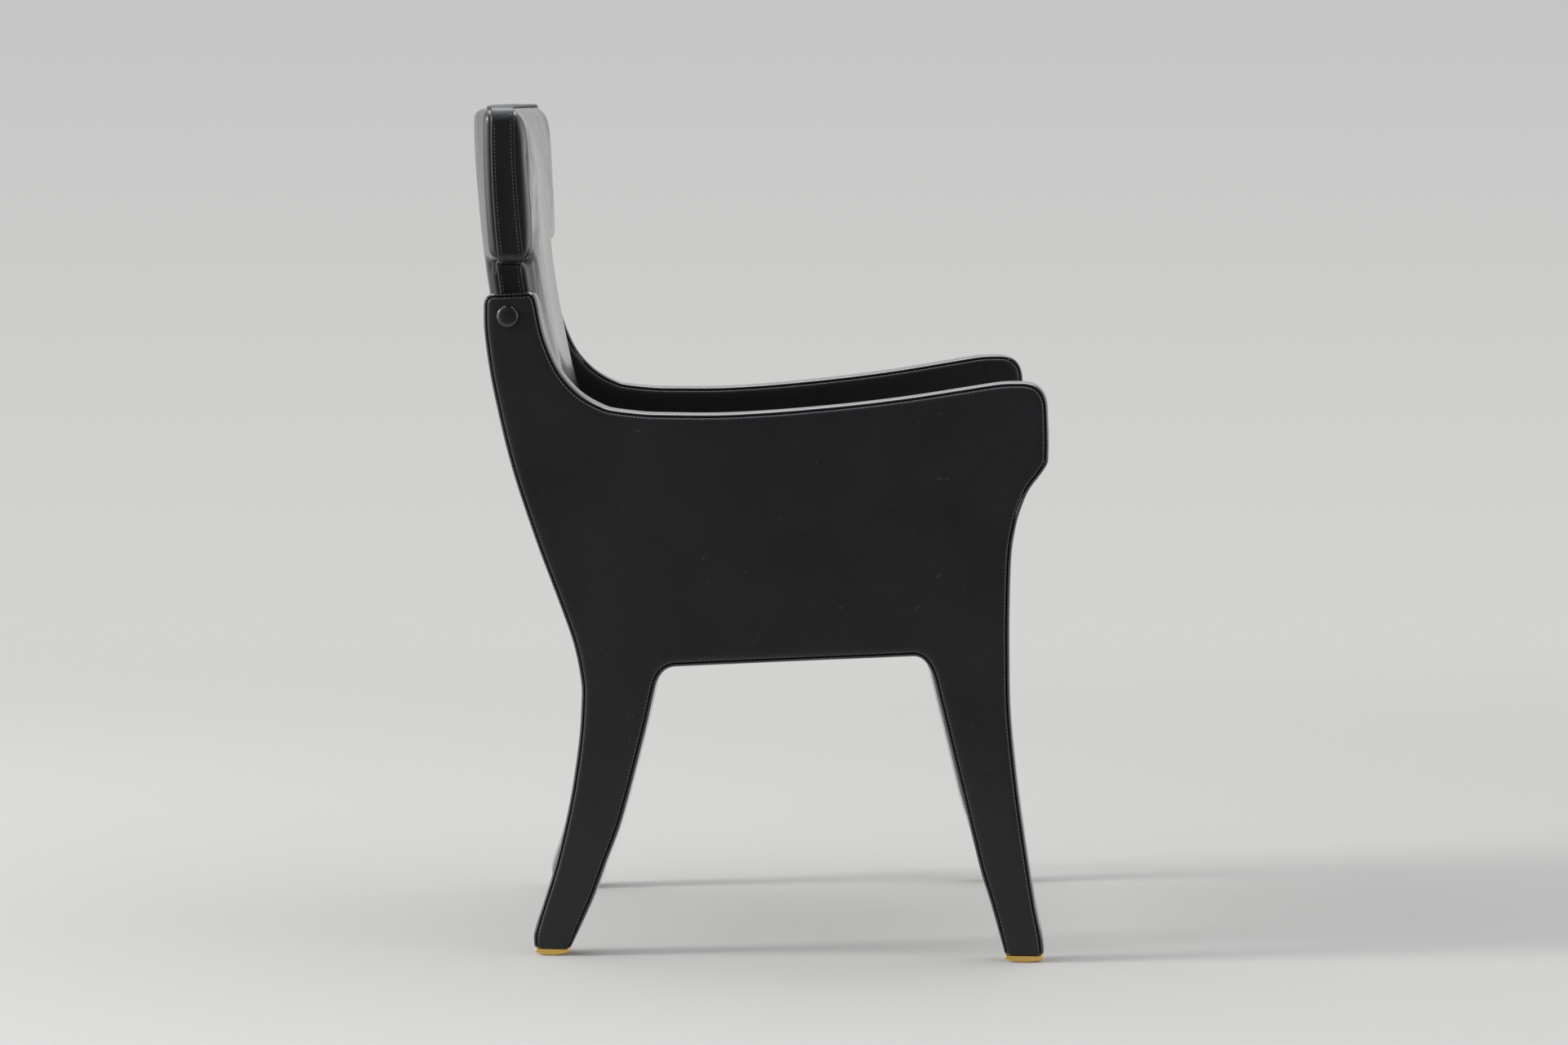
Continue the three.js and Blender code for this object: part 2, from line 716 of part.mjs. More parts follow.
function button() {
  const spigot = counterboreRadius - clearance;
  const spigotEnd = counterboreDepth - boltHeadHeight - 2 * clearance;
  const [shoulder, crown, dish] = buttonDomeShares.map((share) => share * buttonRadius);
  return turned([
    [0, -spigotEnd],
    [spigot, -spigotEnd],
    [spigot, clearance],
    [buttonRadius - buttonRim / 2, clearance],
    [buttonRadius, clearance + buttonRim],
    [shoulder, buttonHeight - buttonRim],
    [crown, buttonHeight],
    [dish, buttonHeight - buttonDish / 2],
    [0, buttonHeight - buttonDish],
  ], buttonSides);
}

// What joins a panel to the back: a bolt under a button above, and a dowel below
function sideGapAt(point) {
  const forward = point.x * Math.cos(toeAngle);
  return innerHalfWidth(forward) - backHalfWidth(point.y + soleHeight) - backBorder;
}
const tilt = Math.tan(toeAngle);
const boltGap = sideGapAt(upperBolt);
const insertStart = halfPanel + boltGap + backBorder + insertRadius * tilt + clearance;
const dowelEnd = halfPanel + sideGapAt(dowel) + backBorder + dowelReach;

// The back's bores for one panel's insert, bolt or dowel
function backBore(side, point, radius, end) {
  return crossRod(point, radius + boreClearance, side * halfPanel, side * (end + clearance))
    .applyMatrix4(panelFrame(side));
}

function backFasteners(label, out) {
  const headSeat = halfPanel - counterboreDepth + clearance;
  const bolt = headedBolt(boltRadius, boltHeadRadius, boltHeadHeight, headSeat + insertStart + boltReach);
  const spacerLength = boltGap - 2 * clearance - backSpacerRadius * tilt;
  const spacer = sleeve(backSpacerRadius, boltRadius + boreClearance, spacerLength);
  const insert = sleeve(insertRadius, boltRadius + boreClearance, insertLength);
  const pin = crossRod(dowel, dowelRadius, -out * (halfPanel - dowelReach), -out * dowelEnd);
  return [
    piece(`back_bolt_${label}`, aim(bolt, upperBolt, out * (headSeat + boltHeadHeight), -out), "steel"),
    piece(`back_bolt_cap_${label}`, aim(button(), upperBolt, out * halfPanel, out), "button"),
    piece(`back_spacer_${label}`, aim(spacer, upperBolt, -out * (halfPanel + clearance), -out), "nylon"),
    piece(`back_insert_${label}`, aim(insert, upperBolt, -out * insertStart, -out), "brass"),
    piece(`back_dowel_${label}`, pin, "beech"),
  ];
}

// Seat: a frame between the panels, a deck on it, and a leather-covered pad
function seatHalf(forward, gap) {
  return innerHalfWidth(forward) - gap / Math.cos(toeAngle);
}

function onSeat(across, forward, height) {
  return new THREE.Vector3(across, -forward, height);
}

// An upright block over a plan given as points across and forward
function planBlock(plan, low, high) {
  return plate(plan.map(([across, forward]) => new THREE.Vector2(across, -forward)), low, high);
}

// A block that fills the width between the panels, but for a gap at each
function crossBlock(from, to, gap, low, high) {
  return planBlock([
    [-seatHalf(from, gap), from],
    [seatHalf(from, gap), from],
    [seatHalf(to, gap), to],
    [-seatHalf(to, gap), to],
  ], low, high);
}

const railInside = clearance + railThickness;

function sideRail(side, label) {
  const from = rearRailTo + clearance;
  const to = frontRailFrom - clearance;
  const rail = planBlock([
    [side * seatHalf(from, clearance), from],
    [side * seatHalf(to, clearance), to],
    [side * seatHalf(to, railInside), to],
    [side * seatHalf(from, railInside), from],
  ], railBottom, railTop);
  const holes = Object.values(seatBolts).map((point) => crossRod(
    point,
    seatBoltRadius + boreClearance,
    side * halfPanel,
    side * (halfPanel + railInside + overrun),
  ).applyMatrix4(panelFrame(side)));
  return piece(`seat_side_rail_${label}`, cut(rail, ...holes), "beech");
}

// A three-cornered block in the corner that a side rail makes with the front or rear rail
function cornerBlock(side, from, to) {
  const gap = railInside + clearance;
  const corner = side * seatHalf(from, gap);
  return planBlock([
    [corner, from],
    [side * seatHalf(to, gap), to],
    [corner - side * cornerBlockSize, from],
  ], railBottom + cornerBlockRise, railTop);
}

function seatFasteners(label, out) {
  const headFrom = halfPanel + railInside + clearance + seatBoltHeadHeight;
  const shank = headFrom - seatBoltHeadHeight - halfCore + seatBoltReach;
  return Object.entries(seatBolts).flatMap(([end, point]) => {
    const bolt = headedBolt(seatBoltRadius, seatBoltHeadRadius, seatBoltHeadHeight, shank);
    const insert = sleeve(seatInsertRadius, seatBoltRadius + boreClearance, seatInsertLength);
    return [
      piece(`seat_bolt_${end}_${label}`, aim(bolt, point, -out * headFrom, out), "steel"),
      piece(`seat_insert_${end}_${label}`, aim(insert, point, -out * (halfCore - clearance), out), "brass"),
    ];
  });
}

function seatRows() {
  const gap = seatSideGap + seatBorder;
  const rear = padBack + seatBorder;
  const front = seatFront - seatBorder;
  const cornerAt = (forward) => new THREE.Vector2(seatHalf(forward, gap), forward);
  return rowsFrom(joinRuns([
    [new THREE.Vector2(0, rear), new THREE.Vector2(seatHalf(rear, gap) - seatRearRound, rear)],
    [cornerAt(rear + seatRearRound), cornerAt(front - seatFrontRound)],
    [new THREE.Vector2(seatHalf(front, gap) - seatFrontRound, front), new THREE.Vector2(0, front)],
  ], rowStep, padCornerSteps, false).slice(1, -1));
}

function seat() {
  const rows = seatRows();
  const loop = gridLoop(rows, columnShares);
  const crown = swell(loop, seatReach);
  const lift = (x, y) => seatBulge * crown(x, y);
  const level = (height) => () => height;
  const deckBottom = railTop + clearance;
  const deckTop = deckBottom + deckThickness;
  const coverBottom = padSeamHeight - coverThickness;
  const pad = (top, bottom) => padSolid(rows, columnShares, onSeat, top, bottom);
  const foam = pad((x, y) => coverBottom - clearance + lift(x, y), level(deckTop + clearance));
  const cover = pad((x, y) => padSeamHeight + lift(x, y), (x, y) => coverBottom + lift(x, y));
  const border = borderBand(loop, deckBottom, padSeamHeight, onSeat);
  const stripFrom = seatFront - borderThickness;
  const lining = crossBlock(
    seatBack + cambricInset,
    frontRailTo,
    seatSideGap,
    railBottom - clearance - cambricThickness,
    railBottom - clearance,
  );
  return [
    piece("seat_rear_rail", crossBlock(seatBack, rearRailTo, clearance, railBottom, railTop), "beech"),
    piece("seat_front_rail", crossBlock(frontRailFrom, frontRailTo, clearance, railBottom, railTop), "beech"),
    piece("seat_front_strip", crossBlock(stripFrom, seatFront, clearance, railBottom, railTop), "leather"),
    piece("seat_deck", pad(level(deckTop), level(deckBottom)), "plywood"),
    piece("seat_foam", foam, "foam"),
    piece("seat_top_cover", cover, "leather"),
    piece("seat_border", border, "leather"),
    piece("seat_lining", lining, "cambric"),
  ];
}

// The whole chair, then moved so that the origin is under the middle of its depth
const chair = new THREE.Group();
const holes = { inserts: [], bolts: [], dowels: [] };
for (const [label, side] of Object.entries({ right: -1, left: 1 })) {
  const out = -side;
  const panel = new THREE.Group();
  panel.applyMatrix4(panelFrame(side));
  panel.add(
    ...sidePanel(label, out),
    ...foot(`rear_${label}`, soles.rear),
    ...foot(`front_${label}`, soles.front),
    ...backFasteners(label, out),
    ...seatFasteners(label, out),
  );
  const rearBlock = cornerBlock(side, rearRailTo + clearance, rearRailTo + clearance + cornerBlockSize);
  const frontBlock = cornerBlock(side, frontRailFrom - clearance, frontRailFrom - clearance - cornerBlockSize);
  chair.add(
    panel,
    sideRail(side, label),
    piece(`seat_corner_block_rear_${label}`, rearBlock, "beech"),
    piece(`seat_corner_block_front_${label}`, frontBlock, "beech"),
  );
  holes.inserts.push(backBore(side, upperBolt, insertRadius, insertStart + insertLength));
  holes.bolts.push(backBore(side, upperBolt, boltRadius, insertStart + insertLength));
  holes.dowels.push(backBore(side, dowel, dowelRadius, dowelEnd));
}
chair.add(...back(holes), zipPull(), ...seat());
const bounds = new THREE.Box3().setFromObject(chair);
chair.position.y = -(bounds.min.y + bounds.max.y) / 2;

export default new THREE.Group().add(chair);
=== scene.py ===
# %% [markdown]
# # A leather-clad klismos armchair
# The chair is two flat side panels with a curved back and a seat hung between them, all of it in
# black leather over plywood. The solid model that was packed earlier is the frame: it says where
# every piece is. Here each leather piece gets its real form, its seams and stitches, and every
# piece gets a material.

# %% Load the frame
import math
import random

import bpy
import numpy as np
from mathutils import Matrix, Quaternion, Vector, noise
from mathutils.geometry import delaunay_2d_cdt


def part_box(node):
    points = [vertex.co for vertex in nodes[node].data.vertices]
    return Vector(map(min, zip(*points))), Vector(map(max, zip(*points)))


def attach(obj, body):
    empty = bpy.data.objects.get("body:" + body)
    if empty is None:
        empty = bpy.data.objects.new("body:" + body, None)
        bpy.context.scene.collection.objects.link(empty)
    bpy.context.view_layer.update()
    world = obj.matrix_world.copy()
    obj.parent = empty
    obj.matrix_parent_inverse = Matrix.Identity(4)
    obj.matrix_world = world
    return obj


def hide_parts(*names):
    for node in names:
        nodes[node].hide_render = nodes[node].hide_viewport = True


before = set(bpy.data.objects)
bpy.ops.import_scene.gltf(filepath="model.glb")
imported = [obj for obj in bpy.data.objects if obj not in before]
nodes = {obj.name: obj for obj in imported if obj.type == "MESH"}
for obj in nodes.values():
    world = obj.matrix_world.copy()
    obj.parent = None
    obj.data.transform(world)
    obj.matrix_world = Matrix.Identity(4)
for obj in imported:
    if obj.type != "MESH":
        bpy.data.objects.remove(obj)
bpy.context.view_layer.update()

# %% [markdown]
# ## The camera
# The picture was taken from the side, a little above the seat, with a long lens, so that the near
# panel is almost flat on. How much smaller the far panel looks than the near one gives a distance
# of 5.9 m, and 6017 pixels of focal length on a frame 1920 wide: a lens of 113 mm on 36 mm film.
# Lengths in this file are millimetres, as on a drawing, and MM turns them into Blender's metres.

# %% The camera
MM = 0.001
FILM_WIDTH, FOCAL_PIXELS, PHOTO_WIDTH = 36, 6017.4, 1920
camera_data = bpy.data.cameras.new("camera")
camera_data.sensor_width = FILM_WIDTH
camera_data.lens = FILM_WIDTH * FOCAL_PIXELS / PHOTO_WIDTH
camera = bpy.data.objects.new("camera", camera_data)
bpy.context.scene.collection.objects.link(camera)
camera.location = (-5.9, 0.0016, 1.008)
yaw, pitch, roll = math.radians(-0.308), math.radians(5.085), math.radians(0.081)
towards = Vector((math.cos(pitch) * math.cos(yaw), math.cos(pitch) * math.sin(yaw), -math.sin(pitch)))
camera.rotation_euler = (towards.to_track_quat("-Z", "Y") @ Quaternion((0, 0, 1), roll)).to_euler()
bpy.context.scene.camera = camera
print("camera at", tuple(camera.location), "lens", round(camera_data.lens, 1))

# %% [markdown]
# ## Small helpers
# Most operators work on what is selected, and the frame's solids are selected after loading. So
# one helper selects a single object and nothing else. Another turns a list of points and faces
# into an object and cleans it: doubled points are merged and the faces are turned outwards. It
# serves where a shape is a woven net of rings, which no primitive comes near.

# %% Helpers for meshes
DOUBLED = 0.02 * MM  # points closer than this are one


def only(piece):
    bpy.ops.object.select_all(action="DESELECT")
    piece.select_set(True)
    bpy.context.view_layer.objects.active = piece


def clean(piece, angle=40):
    """Merges doubled points, turns faces outwards and smooths all edges under the angle."""
    only(piece)
    bpy.ops.object.mode_set(mode="EDIT")
    bpy.ops.mesh.select_all(action="SELECT")
    bpy.ops.mesh.remove_doubles(threshold=DOUBLED)
    bpy.ops.mesh.normals_make_consistent(inside=False)
    bpy.ops.object.mode_set(mode="OBJECT")
    bpy.ops.object.shade_smooth_by_angle(angle=math.radians(angle))


def from_points(name, points, faces, edges=()):
    mesh = bpy.data.meshes.new(name)
    mesh.from_pydata([tuple(p) for p in points], list(edges), [tuple(f) for f in faces])
    piece = bpy.data.objects.new(name, mesh)
    bpy.context.scene.collection.objects.link(piece)
    return piece


def build(name, points, faces, angle=40):
    piece = from_points(name, points, faces)
    clean(piece, angle)
    print(name, len(piece.data.polygons), "faces")
    return piece


def apply_modifiers(piece):
    only(piece)
    for modifier in list(piece.modifiers):
        bpy.ops.object.modifier_apply(modifier=modifier.name)


def settle(piece):
    """Puts the object's place, turn and size into its mesh."""
    only(piece)
    bpy.ops.object.transform_apply(location=True, rotation=True, scale=True)


# %% [markdown]
# ## Curves and loops
# Every outline on this chair is a row of smooth curves with a rounded corner between each and the
# next. A Catmull-Rom curve passes through its points, which is what a maker does with a batten and
# pins. Blender's own curves could be drawn instead, but their points have to be read back anyway.

# %% Helpers for outlines
def unit(rows):
    return rows / np.maximum(np.linalg.norm(rows, axis=1, keepdims=True), 1e-9)


def batten(points, steps=28):
    """A smooth curve through the points, as a fine row of points."""
    p = [np.array(q, float) for q in points]
    if len(p) == 2:
        return np.linspace(p[0], p[1], steps)
    row = []
    for i in range(len(p) - 1):
        before, after = p[max(i - 1, 0)], p[min(i + 2, len(p) - 1)]
        v0, v1 = (p[i + 1] - before) / 2, (after - p[i]) / 2
        for t in np.linspace(0, 1, steps, endpoint=False):
            row.append((2 * p[i] - 2 * p[i + 1] + v0 + v1) * t ** 3
                       + (-3 * p[i] + 3 * p[i + 1] - 2 * v0 - v1) * t ** 2 + v0 * t + p[i])
    row.append(p[-1])
    return np.array(row)


def rounded(end, way_out, start, way_in, steps=24):
    """A corner from one curve's end to the next one's start, along both their directions."""
    cross = way_out[0] * way_in[1] - way_out[1] * way_in[0]
    gap = start - end
    corner = end + way_out * ((gap[0] * way_in[1] - gap[1] * way_in[0]) / cross)
    t = np.linspace(0, 1, steps)[1:-1, None]
    return (1 - t) ** 2 * end + 2 * t * (1 - t) * corner + t ** 2 * start


def joined(runs, closed=True):
    curves = [batten(run) for run in runs]
    outline = []
    for i, curve in enumerate(curves):
        outline.append(curve)
        if i == len(curves) - 1 and not closed:
            break
        following = curves[(i + 1) % len(curves)]
        way_out, way_in = curve[-1] - curve[-2], following[1] - following[0]
        outline.append(rounded(curve[-1], way_out, following[0], way_in))
    return np.concatenate(outline)


# %% [markdown]
# ## Even steps
# The outline is divided evenly, so that rings, ripples and folds keep one spacing all round.

# %% Helpers for even steps
def travel(row):
    """How far along the row each of its points lies."""
    return np.r_[0, np.cumsum(np.linalg.norm(np.diff(row, axis=0), axis=1))]


def evenly(loop, spacing):
    """The same closed loop, divided into equal steps near the spacing."""
    closed = np.vstack([loop, loop[:1]])
    travelled = travel(closed)
    keep = np.r_[True, np.diff(travelled) > 1e-9]
    closed, travelled = closed[keep], travelled[keep]
    count = round(travelled[-1] / spacing)
    places = np.linspace(0, travelled[-1], count, endpoint=False)
    return np.stack([np.interp(places, travelled, closed[:, k]) for k in range(2)], axis=1)


# %% [markdown]
# ## Rings inside an outline
# Leather that is turned down into a seam follows the outline at a steady distance. An inset in
# edit mode would do that on a simple face, but in a tight corner its points cross. So each point is
# moved in one by one, and where a corner would fold over, its points meet, as a gathered hide does.

# %% Helpers for rings
POINTS_AT_ONCE = 400  # so that the table of distances stays small


def to_outline(points, loop):
    """How far each point lies from the loop."""
    starts, ends = loop, np.roll(loop, -1, axis=0)
    least = np.full(len(points), np.inf)
    for first in range(0, len(points), POINTS_AT_ONCE):
        p = points[first:first + POINTS_AT_ONCE, None, :]
        run = (ends - starts)[None]
        t = np.clip(((p - starts[None]) * run).sum(2) / (run ** 2).sum(2), 0, 1)
        nearest = starts[None] + run * t[..., None]
        least[first:first + POINTS_AT_ONCE] = np.linalg.norm(p - nearest, axis=2).min(1)
    return least


def outward(loop):
    """The direction out of an anticlockwise loop at each of its points."""
    along = unit(unit(loop - np.roll(loop, 1, axis=0)) + unit(np.roll(loop, -1, axis=0) - loop))
    return np.stack([along[:, 1], -along[:, 0]], axis=1)


def moved_in(loop, distance):
    """An anticlockwise loop moved inwards. Where a tight corner would fold over, its points meet."""
    moved = loop - outward(loop) * distance
    if distance <= 0.5:  # too little to fold any corner here
        return moved
    folded = to_outline(moved, loop) < distance * 0.985
    if not folded.any() or folded.all():
        return moved
    count = len(loop)
    first = int(np.argmin(folded))
    i = 0
    while i < count:
        here = (first + i) % count
        if not folded[here]:
            i += 1
            continue
        run = 1
        while folded[(here + run) % count]:
            run += 1
        meeting = (moved[(here - 1) % count] + moved[(here + run) % count]) / 2
        for k in range(run):
            moved[(here + k) % count] = meeting
        i += run
    return moved


# %% [markdown]
# ## Bands
# A strip of leather is a row of rings, each at its own inset and height, with faces from one ring
# to the next. It is either closed to a tube or capped at both ends. The function named place sets
# each point of the flat drawing into the chair, so the same band serves panel, back and seat.

# %% Helper for bands
def band(loop, section, place, caps=False, ring_at=moved_in):
    """Rings round a loop at each (inset, height), joined into a closed tube or capped at both ends."""
    rings = [[place(x, y, height) for x, y in ring_at(loop, inset)] for inset, height in section]
    count = len(loop)
    points = [p for ring in rings for p in ring]
    faces = []
    last = len(section) - 1 if caps else len(section)
    for s in range(last):
        here, above = s * count, (s + 1) % len(section) * count
        for i in range(count):
            j = (i + 1) % count
            faces.append((here + i, here + j, above + j, above + i))
    if caps:
        faces += [tuple(range(count))[::-1], tuple(range(len(points) - count, len(points)))]
    return points, faces


# %% [markdown]
# ## Where a side panel stands
# A panel's outline is drawn flat, with X forward from its rearmost point and Y up from the soles.
# The panels toe out towards the front, so each drawing is turned a few degrees as it is stood up.
# The place along the chair is read from a foot of the frame, so nothing is set by eye.

# %% The panels' places
POST_HEIGHT, PANEL_DEPTH, PANEL_THICKNESS = 771, 649, 34
FRONT_WIDTH, REAR_WIDTH = 606, 500
SOLE_HEIGHT = 9.3
HALF = PANEL_THICKNESS / 2
TOE = math.asin((FRONT_WIDTH - REAR_WIDTH) / 2 / PANEL_DEPTH)
PANEL_HEIGHT = POST_HEIGHT - SOLE_HEIGHT
REAR_SOLE = (0.103 + 0.133) / 2 * PANEL_DEPTH  # the middle of each sole in the solid model
FRONT_SOLE = (0.937 + 0.982) / 2 * PANEL_DEPTH

low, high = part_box("foot_glide_rear_right")
POSTS_REAR = (low.y + high.y) / 2 / MM + REAR_SOLE * math.cos(TOE)
STANDING = Matrix(((0, 0, -1), (-1, 0, 0), (0, 1, 0))).to_4x4()  # forward to -Y, up to Z
SIDES = {"right": -1, "left": 1}


def panel_matrix(side):
    """What sets a mesh drawn flat, in metres, into the chair."""
    across = side * (REAR_WIDTH / 2 - HALF / math.cos(TOE)) * MM
    return (Matrix.Translation((across, POSTS_REAR * MM, SOLE_HEIGHT * MM))
            @ Matrix.Rotation(side * TOE, 4, "Z") @ STANDING)


def panel_place(side):
    """The function that does the same to one point, in millimetres."""
    matrix = panel_matrix(side)
    return lambda x, y, z: tuple(matrix @ Vector((x * MM, y * MM, z * MM)))


print("posts' rear edges at", round(POSTS_REAR, 2), "mm, toe", round(math.degrees(TOE), 2), "degrees")

# %% [markdown]
# ## The panel's outline
# The same named curves as in the solid model, as shares of the panel's depth and height: two
# sabre legs with an arch between them, the arm's front, its sweeping top and the rear post. The
# legs' edges and the soles' corners were measured again in the photo, so they differ from the
# solid's by up to 4 mm.

# %% The panel's outline
PANEL_RUN_SHARES = {
    "rear sole": [(0.089, 0), (0.15, 0)],
    "rear leg, front edge": [(0.1539, 0.004), (0.1908, 0.0725), (0.2173, 0.134), (0.2453, 0.2),
                             (0.284, 0.325), (0.304, 0.4)],
    "arch": [(0.341, 0.4332), (0.55, 0.443), (0.764, 0.4525)],
    "front leg, rear edge": [(0.802, 0.412), (0.8265, 0.328), (0.863, 0.202), (0.8848, 0.127),
                             (0.9033, 0.0765), (0.9275, 0.004)],
    "front sole": [(0.931, 0), (0.993, 0)],
    "front leg, front edge": [(0.998, 0.007), (0.9945, 0.03), (0.9815, 0.082), (0.9595, 0.2),
                              (0.9457, 0.29), (0.9363, 0.375), (0.9341, 0.46), (0.934, 0.53),
                              (0.9365, 0.605), (0.9435, 0.648), (0.953, 0.6775), (0.9665, 0.705),
                              (0.9865, 0.7285)],
    "arm front": [(1.0005, 0.75), (1.001, 0.785), (0.999, 0.828)],
    "arm top": [(0.95, 0.868), (0.9145, 0.8668), (0.8494, 0.858), (0.7624, 0.846), (0.6753, 0.836),
                (0.588, 0.828), (0.5, 0.8215), (0.413, 0.8175), (0.3256, 0.8175), (0.282, 0.8185),
                (0.2275, 0.8237), (0.2066, 0.8295), (0.1857, 0.8385), (0.1668, 0.8497),
                (0.1481, 0.8657), (0.1335, 0.8825), (0.121, 0.9037), (0.1108, 0.926),
                (0.1034, 0.948), (0.0965, 0.979)],
    "post top": [(0.081, 1), (0.0185, 0.9975)],
    "post rear": [(-0.001, 0.977), (0, 0.94), (0.0092, 0.88), (0.0232, 0.821), (0.0395, 0.7615),
                  (0.0596, 0.702), (0.0952, 0.613), (0.1347, 0.5235), (0.1587, 0.464),
                  (0.1711, 0.41), (0.1717, 0.374), (0.1665, 0.314), (0.1503, 0.224),
                  (0.1257, 0.133), (0.1043, 0.0727), (0.0868, 0.026), (0.0856, 0.007)],
}
RING_STEP = 3.6  # from one point of a leather's ring to the next
panel_loop = evenly(joined([[(x * PANEL_DEPTH, y * PANEL_HEIGHT) for x, y in run]
                            for run in PANEL_RUN_SHARES.values()]), RING_STEP)
print("outline of", len(panel_loop), "points")

# %% [markdown]
# ## The panel's leather
# Each face is one hide, turned down into a seam 3.5 mm inside the edge, and the strip round the
# edge is turned down into the same seam. So the light draws a hair-thin dark groove with a soft
# roll on each side of it. Both are made as rings that follow the outline. At the soles the leather
# is folded under the leg, so the rings close up there and the seams run straight down. Each pair
# below is a ring's inset from the outline and its height above the panel's middle.

# %% Panel faces and edge strips
SOLE_FOLD = 40  # the rings are stretched down to the soles below this height
FACE_ROLL = [(3.6, 14.2), (3.63, 15.0), (3.95, 15.55), (4.5, 16.2), (5.1, 16.9), (5.8, 17.5), (6.9, 17.98),
             (8.6, 18.28), (11.5, 18.45), (15, 18.52), (22, 18.55)]
EDGE_ROLL = [(3.4, 14.4), (3.38, 15.4), (3.2, 16.2), (2.8, 16.5), (2.2, 16.4), (1.45, 15.9), (0.8, 15.1),
             (0.32, 14.0), (0.06, 12.6), (0.15, 7), (0.2, 0)]


def down_to_sole(loop, inset):
    """The loop moved in at its sides only: near the ground it is stretched back down to the soles."""
    ring = moved_in(loop, inset)
    near = ring[:, 1] < SOLE_FOLD
    ring[near, 1] = np.maximum(ring[near, 1] - inset, 0) * SOLE_FOLD / (SOLE_FOLD - inset)
    return ring


def mirrored(section):
    """The other half of a section that is alike on both sides of the middle."""
    return [(inset, -height) for inset, height in reversed(section)]


def panel_leather(label, side):
    """One panel's outer face, inner face and edge strip."""
    place = panel_place(side)
    out = -side
    pieces = {}
    for facing, sign in (("outer", out), ("inner", -out)):
        section = [(inset, sign * height) for inset, height in FACE_ROLL]
        points, faces = band(panel_loop, section, place, caps=True, ring_at=down_to_sole)
        piece = build(f"side_{facing}_leather_{label}", points, faces)
        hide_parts(f"side_{facing}_cover_{label}")
        pieces[facing] = piece
    section = EDGE_ROLL + mirrored(EDGE_ROLL[:-1])
    points, faces = band(panel_loop, section, place, ring_at=down_to_sole)
    strip = build(f"side_edge_leather_{label}", points, faces)
    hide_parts(f"side_boxing_{label}")
    pieces["edge"] = strip
    return pieces


panel_pieces = {label: panel_leather(label, side) for label, side in SIDES.items()}

# %% [markdown]
# ## Stitches
# Waxed thread, a shade lighter than the hide, with a stitch about every 4.4 mm on both sides of
# each seam. A stitch is a small oval of ten points, modelled once and set along the seam: each one
# lies along the seam's direction and stands up from the leather. An array along a curve would do
# it too, but would bend the ovals and can't let each one lean a little, as hand sewing does.

# %% One stitch and a row of them
PITCH, STITCH_LENGTH, STITCH_WIDTH, STITCH_HEIGHT = 4.4, 3.3, 0.85, 0.5
OVAL = [(-0.5, 0, 0)] + [(x, y, z) for x in (-0.28, 0.28)
                         for y, z in ((-0.5, 0), (0, 1), (0.5, 0), (0, -0.6))] + [(0.5, 0, 0)]
OVAL_LEAN = 0.07  # the most that a stitch leans off the seam's line, as a share of its length
OVAL_FACES = ([(0, 1 + (k + 1) % 4, 1 + k) for k in range(4)]
              + [(1 + k, 1 + (k + 1) % 4, 5 + (k + 1) % 4, 5 + k) for k in range(4)]
              + [(5 + k, 5 + (k + 1) % 4, 9) for k in range(4)])


def stitch_row(path, normals, seed, lowest=-1):
    """Ovals along a closed row of places, each with the direction that it stands up in."""
    path, normals = np.array(path), np.array(normals)
    closed = np.vstack([path, path[:1]])
    travelled = travel(closed)
    count = int(travelled[-1] / (PITCH * MM))
    rng = random.Random(seed)
    points, faces = [], []
    for s in range(count):
        place = travelled[-1] * (s + 0.5) / count
        i = min(int(np.searchsorted(travelled, place, side="right")) - 1, len(path) - 1)
        j = (i + 1) % len(path)
        t = (place - travelled[i]) / max(travelled[i + 1] - travelled[i], 1e-9)
        middle = path[i] * (1 - t) + path[j] * t
        if middle[2] < lowest:
            continue
        along = path[j] - path[i]
        along = along / max(np.linalg.norm(along), 1e-9)
        up = normals[i] - along * np.dot(normals[i], along)
        up = up / np.linalg.norm(up)
        aside = np.cross(up, along)
        lean = rng.uniform(-OVAL_LEAN, OVAL_LEAN)
        base = len(points)
        for x, y, z in OVAL:
            a = x * STITCH_LENGTH
            points.append(middle + MM * (along * a + aside * (y * STITCH_WIDTH + lean * a)
                                         + up * z * STITCH_HEIGHT))
        faces += [tuple(base + k for k in face) for face in OVAL_FACES]
    return points, faces


# %% [markdown]
# ## Rows along a seam
# A row is given by two rings: one that it lies on, and one above it that says which way is up. Rows
# of one piece are gathered into a single object, because thousands of objects would be slow.

# %% Rows along a seam
def loop_row(loop, spot, above, place, seed, ring_at=moved_in, lowest=-1):
    """Stitches along a band, at one (inset, height), standing up towards a second one."""
    path = np.array([place(x, y, spot[1]) for x, y in ring_at(loop, spot[0])])
    over = np.array([place(x, y, above[1]) for x, y in ring_at(loop, above[0])])
    return stitch_row(path, over - path, seed, lowest)


def gather(name, rows):
    """One object from several rows of stitches."""
    points, faces = [], []
    for row_points, row_faces in rows:
        base = len(points)
        points += row_points
        faces += [tuple(base + k for k in face) for face in row_faces]
    piece = from_points(name, points, faces)
    only(piece)
    bpy.ops.object.shade_smooth()
    print(name, len(faces) // len(OVAL_FACES), "stitches")
    return piece


# %% [markdown]
# ## The panels' stitches
# A panel has two seams, and each has a row on the face and a row on the edge strip. The rows stop
# just above the soles, where the leather is folded under the leg.

